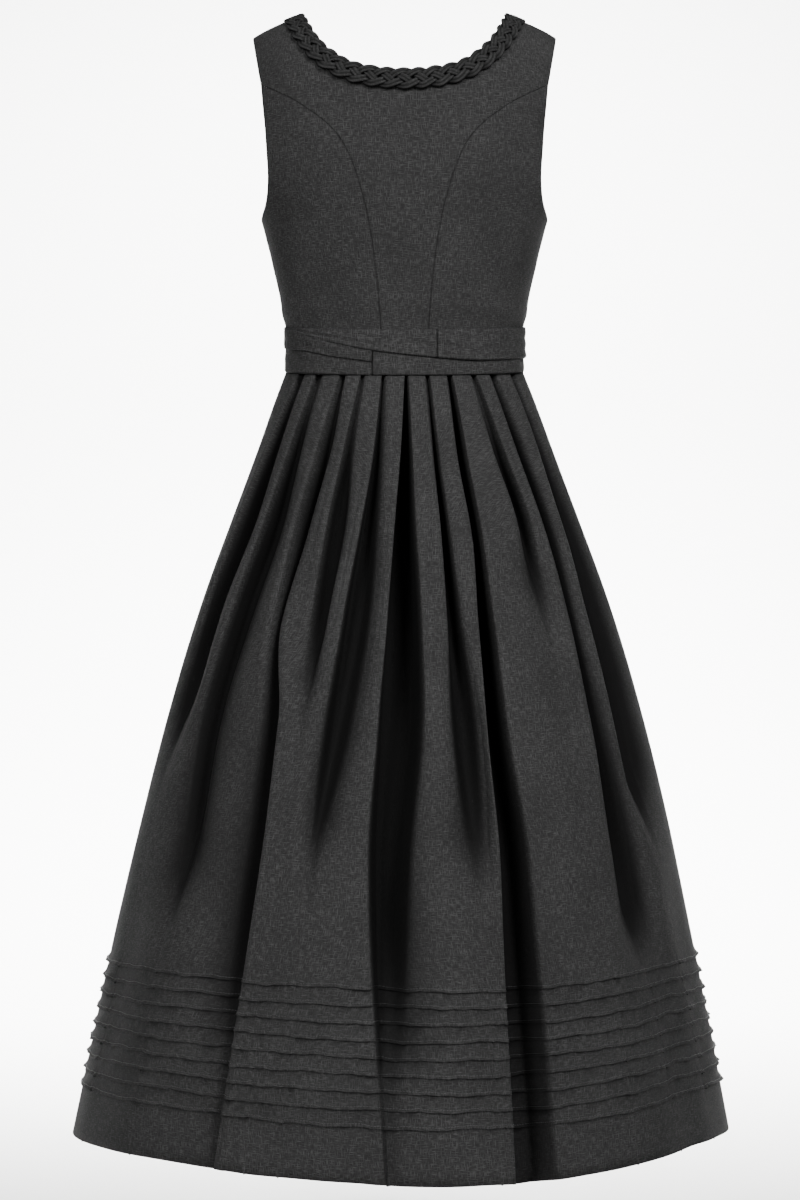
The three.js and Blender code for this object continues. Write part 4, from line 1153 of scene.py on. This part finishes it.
class DIRNDL_OT_skirt(bpy.types.Operator):
    """Pleat the skirt into the waist and sew its tucks above the hem"""

    bl_idname = "dirndl.skirt"
    bl_label = "Pleated skirt"

    def execute(self, context):
        sizes, finish = context.scene.dirndl_skirt, context.scene.dirndl_cloth
        cloth = melange_cloth("linen and wool cloth, skirt", finish)
        thread = sewing_thread("polyester sewing thread", finish.thread_colour)
        tuck = tuck_rows(sizes)[1]
        seams = [int(np.argmax(tuck == number)) + TUCK_SEAM_ROW for number in range(sizes.tuck_count)]
        for name, folds, start, end in (
            ("skirt_back", BACK_FOLDS, -90, 90),
            ("skirt_front", FRONT_FOLDS, 90, 270),
        ):
            part = skirt_part(folds, start, end, sizes)
            grid = part[0]
            piece = sheet_piece(f"{name}_cloth", [part], finish.wall * 1000, cloth)
            dress_piece(piece, name)
            outward = skirt_outward(np.linspace(start, end, grid.shape[1]), 0.9)
            rows = [grid[row] + outward * STITCH_LIFT for row in seams]
            stitches = sewn_rows(f"{name}_tuck_stitches", rows, sizes, thread)
            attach(stitches, "root")
        return {"FINISHED"}


class DIRNDL_OT_stage(bpy.types.Operator):
    """Set up the floor, the backdrop, the lights and the camera"""

    bl_idname = "dirndl.stage"
    bl_label = "Stage"

    def execute(self, context):
        scene = context.scene
        sizes = scene.dirndl_stage
        paper = bpy.data.materials.new("matt seamless paper")
        paper.use_nodes = True
        tree = paper.node_tree
        shader = tree.nodes["Principled BSDF"]
        shader.inputs["Base Color"].default_value = toned(sizes.paper_colour, 1)
        shader.inputs["Roughness"].default_value = 0.95
        # The paper is there only from the dress's side, so the dress can be seen from behind it too.
        side = add_node(tree, "ShaderNodeNewGeometry")
        clear = add_node(tree, "ShaderNodeBsdfTransparent")
        one_sided = add_node(tree, "ShaderNodeMixShader", {}, {
            0: side.outputs["Backfacing"], 1: shader.outputs["BSDF"], 2: clear.outputs["BSDF"],
        })
        tree.links.new(one_sided.outputs["Shader"], tree.nodes["Material Output"].inputs["Surface"])

        back, radius, aside = PAPER["back"], PAPER["bend"], PAPER["aside"]
        bend = np.linspace(0, math.pi / 2, 16)
        line = [(PAPER["front"], 0.0)]
        line += [(back + radius * math.sin(b), radius * (1 - math.cos(b))) for b in bend]
        line += [(back + radius, PAPER["top"])]
        vertices = [(x, y, sizes.floor_height + z) for y, z in line for x in (-aside, aside)]
        faces = [(2 * k, 2 * k + 1, 2 * k + 3, 2 * k + 2) for k in range(len(line) - 1)]
        mesh = bpy.data.meshes.new("paper_floor")
        mesh.from_pydata(vertices, [], faces)
        mesh.polygons.foreach_set("use_smooth", [True] * len(faces))
        mesh.materials.append(paper)
        place_object("paper_floor", mesh)

        world = bpy.data.worlds.new("soft room")
        world.use_nodes = True
        room = world.node_tree.nodes["Background"]
        room.inputs["Color"].default_value = (1, 1, 1, 1)
        room.inputs["Strength"].default_value = sizes.room_light
        scene.world = world
        soft, behind = sizes.soft_light, sizes.backdrop_light
        for name, size, power, place, target, spread in (
            ("soft left", (1.0, 1.6), soft * WEAKER_LIGHT, (-1.45, -2.85, 1.0), (0, 0, -0.95), 60),
            ("soft right", (1.0, 1.6), soft, (1.6, -2.75, 1.8), (0.1, 0, -0.3), 60),
            ("soft backdrop", (3.2, 0.8), behind, (0, 1.6, 1.9), (0, 2.9, -1.1), 100),
        ):
            light = bpy.data.lights.new(name, "AREA")
            light.spread = math.radians(spread)
            light.shape = "RECTANGLE"
            light.size, light.size_y = size
            light.energy = power
            lamp = place_object(name, light)
            lamp.location = place
            lamp.rotation_euler = (Vector(target) - Vector(place)).to_track_quat("-Z", "Y").to_euler()

        camera = bpy.data.cameras.new("camera")
        camera.lens = sizes.lens
        camera.sensor_width = 36
        camera.clip_end = 50
        view = place_object("camera", camera)
        view.location = (-0.0048, -sizes.camera_distance, -0.627)
        view.rotation_euler = (math.radians(90), 0, 0)
        scene.camera = view
        return {"FINISHED"}


class DIRNDL_PT_panel(bpy.types.Panel):
    """Lists the pieces of the dress"""

    bl_idname = "DIRNDL_PT_panel"
    bl_label = "Dirndl dress"
    bl_space_type = "VIEW_3D"
    bl_region_type = "UI"
    bl_category = "Dirndl"

    def draw(self, context):
        for operator in OPERATORS:
            self.layout.operator(operator.bl_idname)
        for group in GROUPS:
            settings = getattr(context.scene, group)
            box = self.layout.box()
            for key in settings.__annotations__:
                box.prop(settings, key)


OPERATORS = (DIRNDL_OT_bodice, DIRNDL_OT_plait, DIRNDL_OT_belt, DIRNDL_OT_skirt, DIRNDL_OT_stage)
GROUPS = {
    "dirndl_cloth": DIRNDL_PG_cloth,
    "dirndl_bodice": DIRNDL_PG_bodice,
    "dirndl_plait": DIRNDL_PG_plait,
    "dirndl_skirt": DIRNDL_PG_skirt,
    "dirndl_stage": DIRNDL_PG_stage,
}


def register():
    for cls in (*GROUPS.values(), *OPERATORS, DIRNDL_PT_panel):
        bpy.utils.register_class(cls)
    for key, group in GROUPS.items():
        setattr(bpy.types.Scene, key, PointerProperty(type=group))


def unregister():
    for key in GROUPS:
        delattr(bpy.types.Scene, key)
    for cls in (DIRNDL_PT_panel, *reversed(OPERATORS), *reversed(GROUPS.values())):
        bpy.utils.unregister_class(cls)


def main():
    register()
    bpy.ops.dirndl.bodice()
    bpy.ops.dirndl.plait()
    bpy.ops.dirndl.belt()
    bpy.ops.dirndl.skirt()
    bpy.ops.dirndl.stage()


if __name__ == "__main__":
    main()
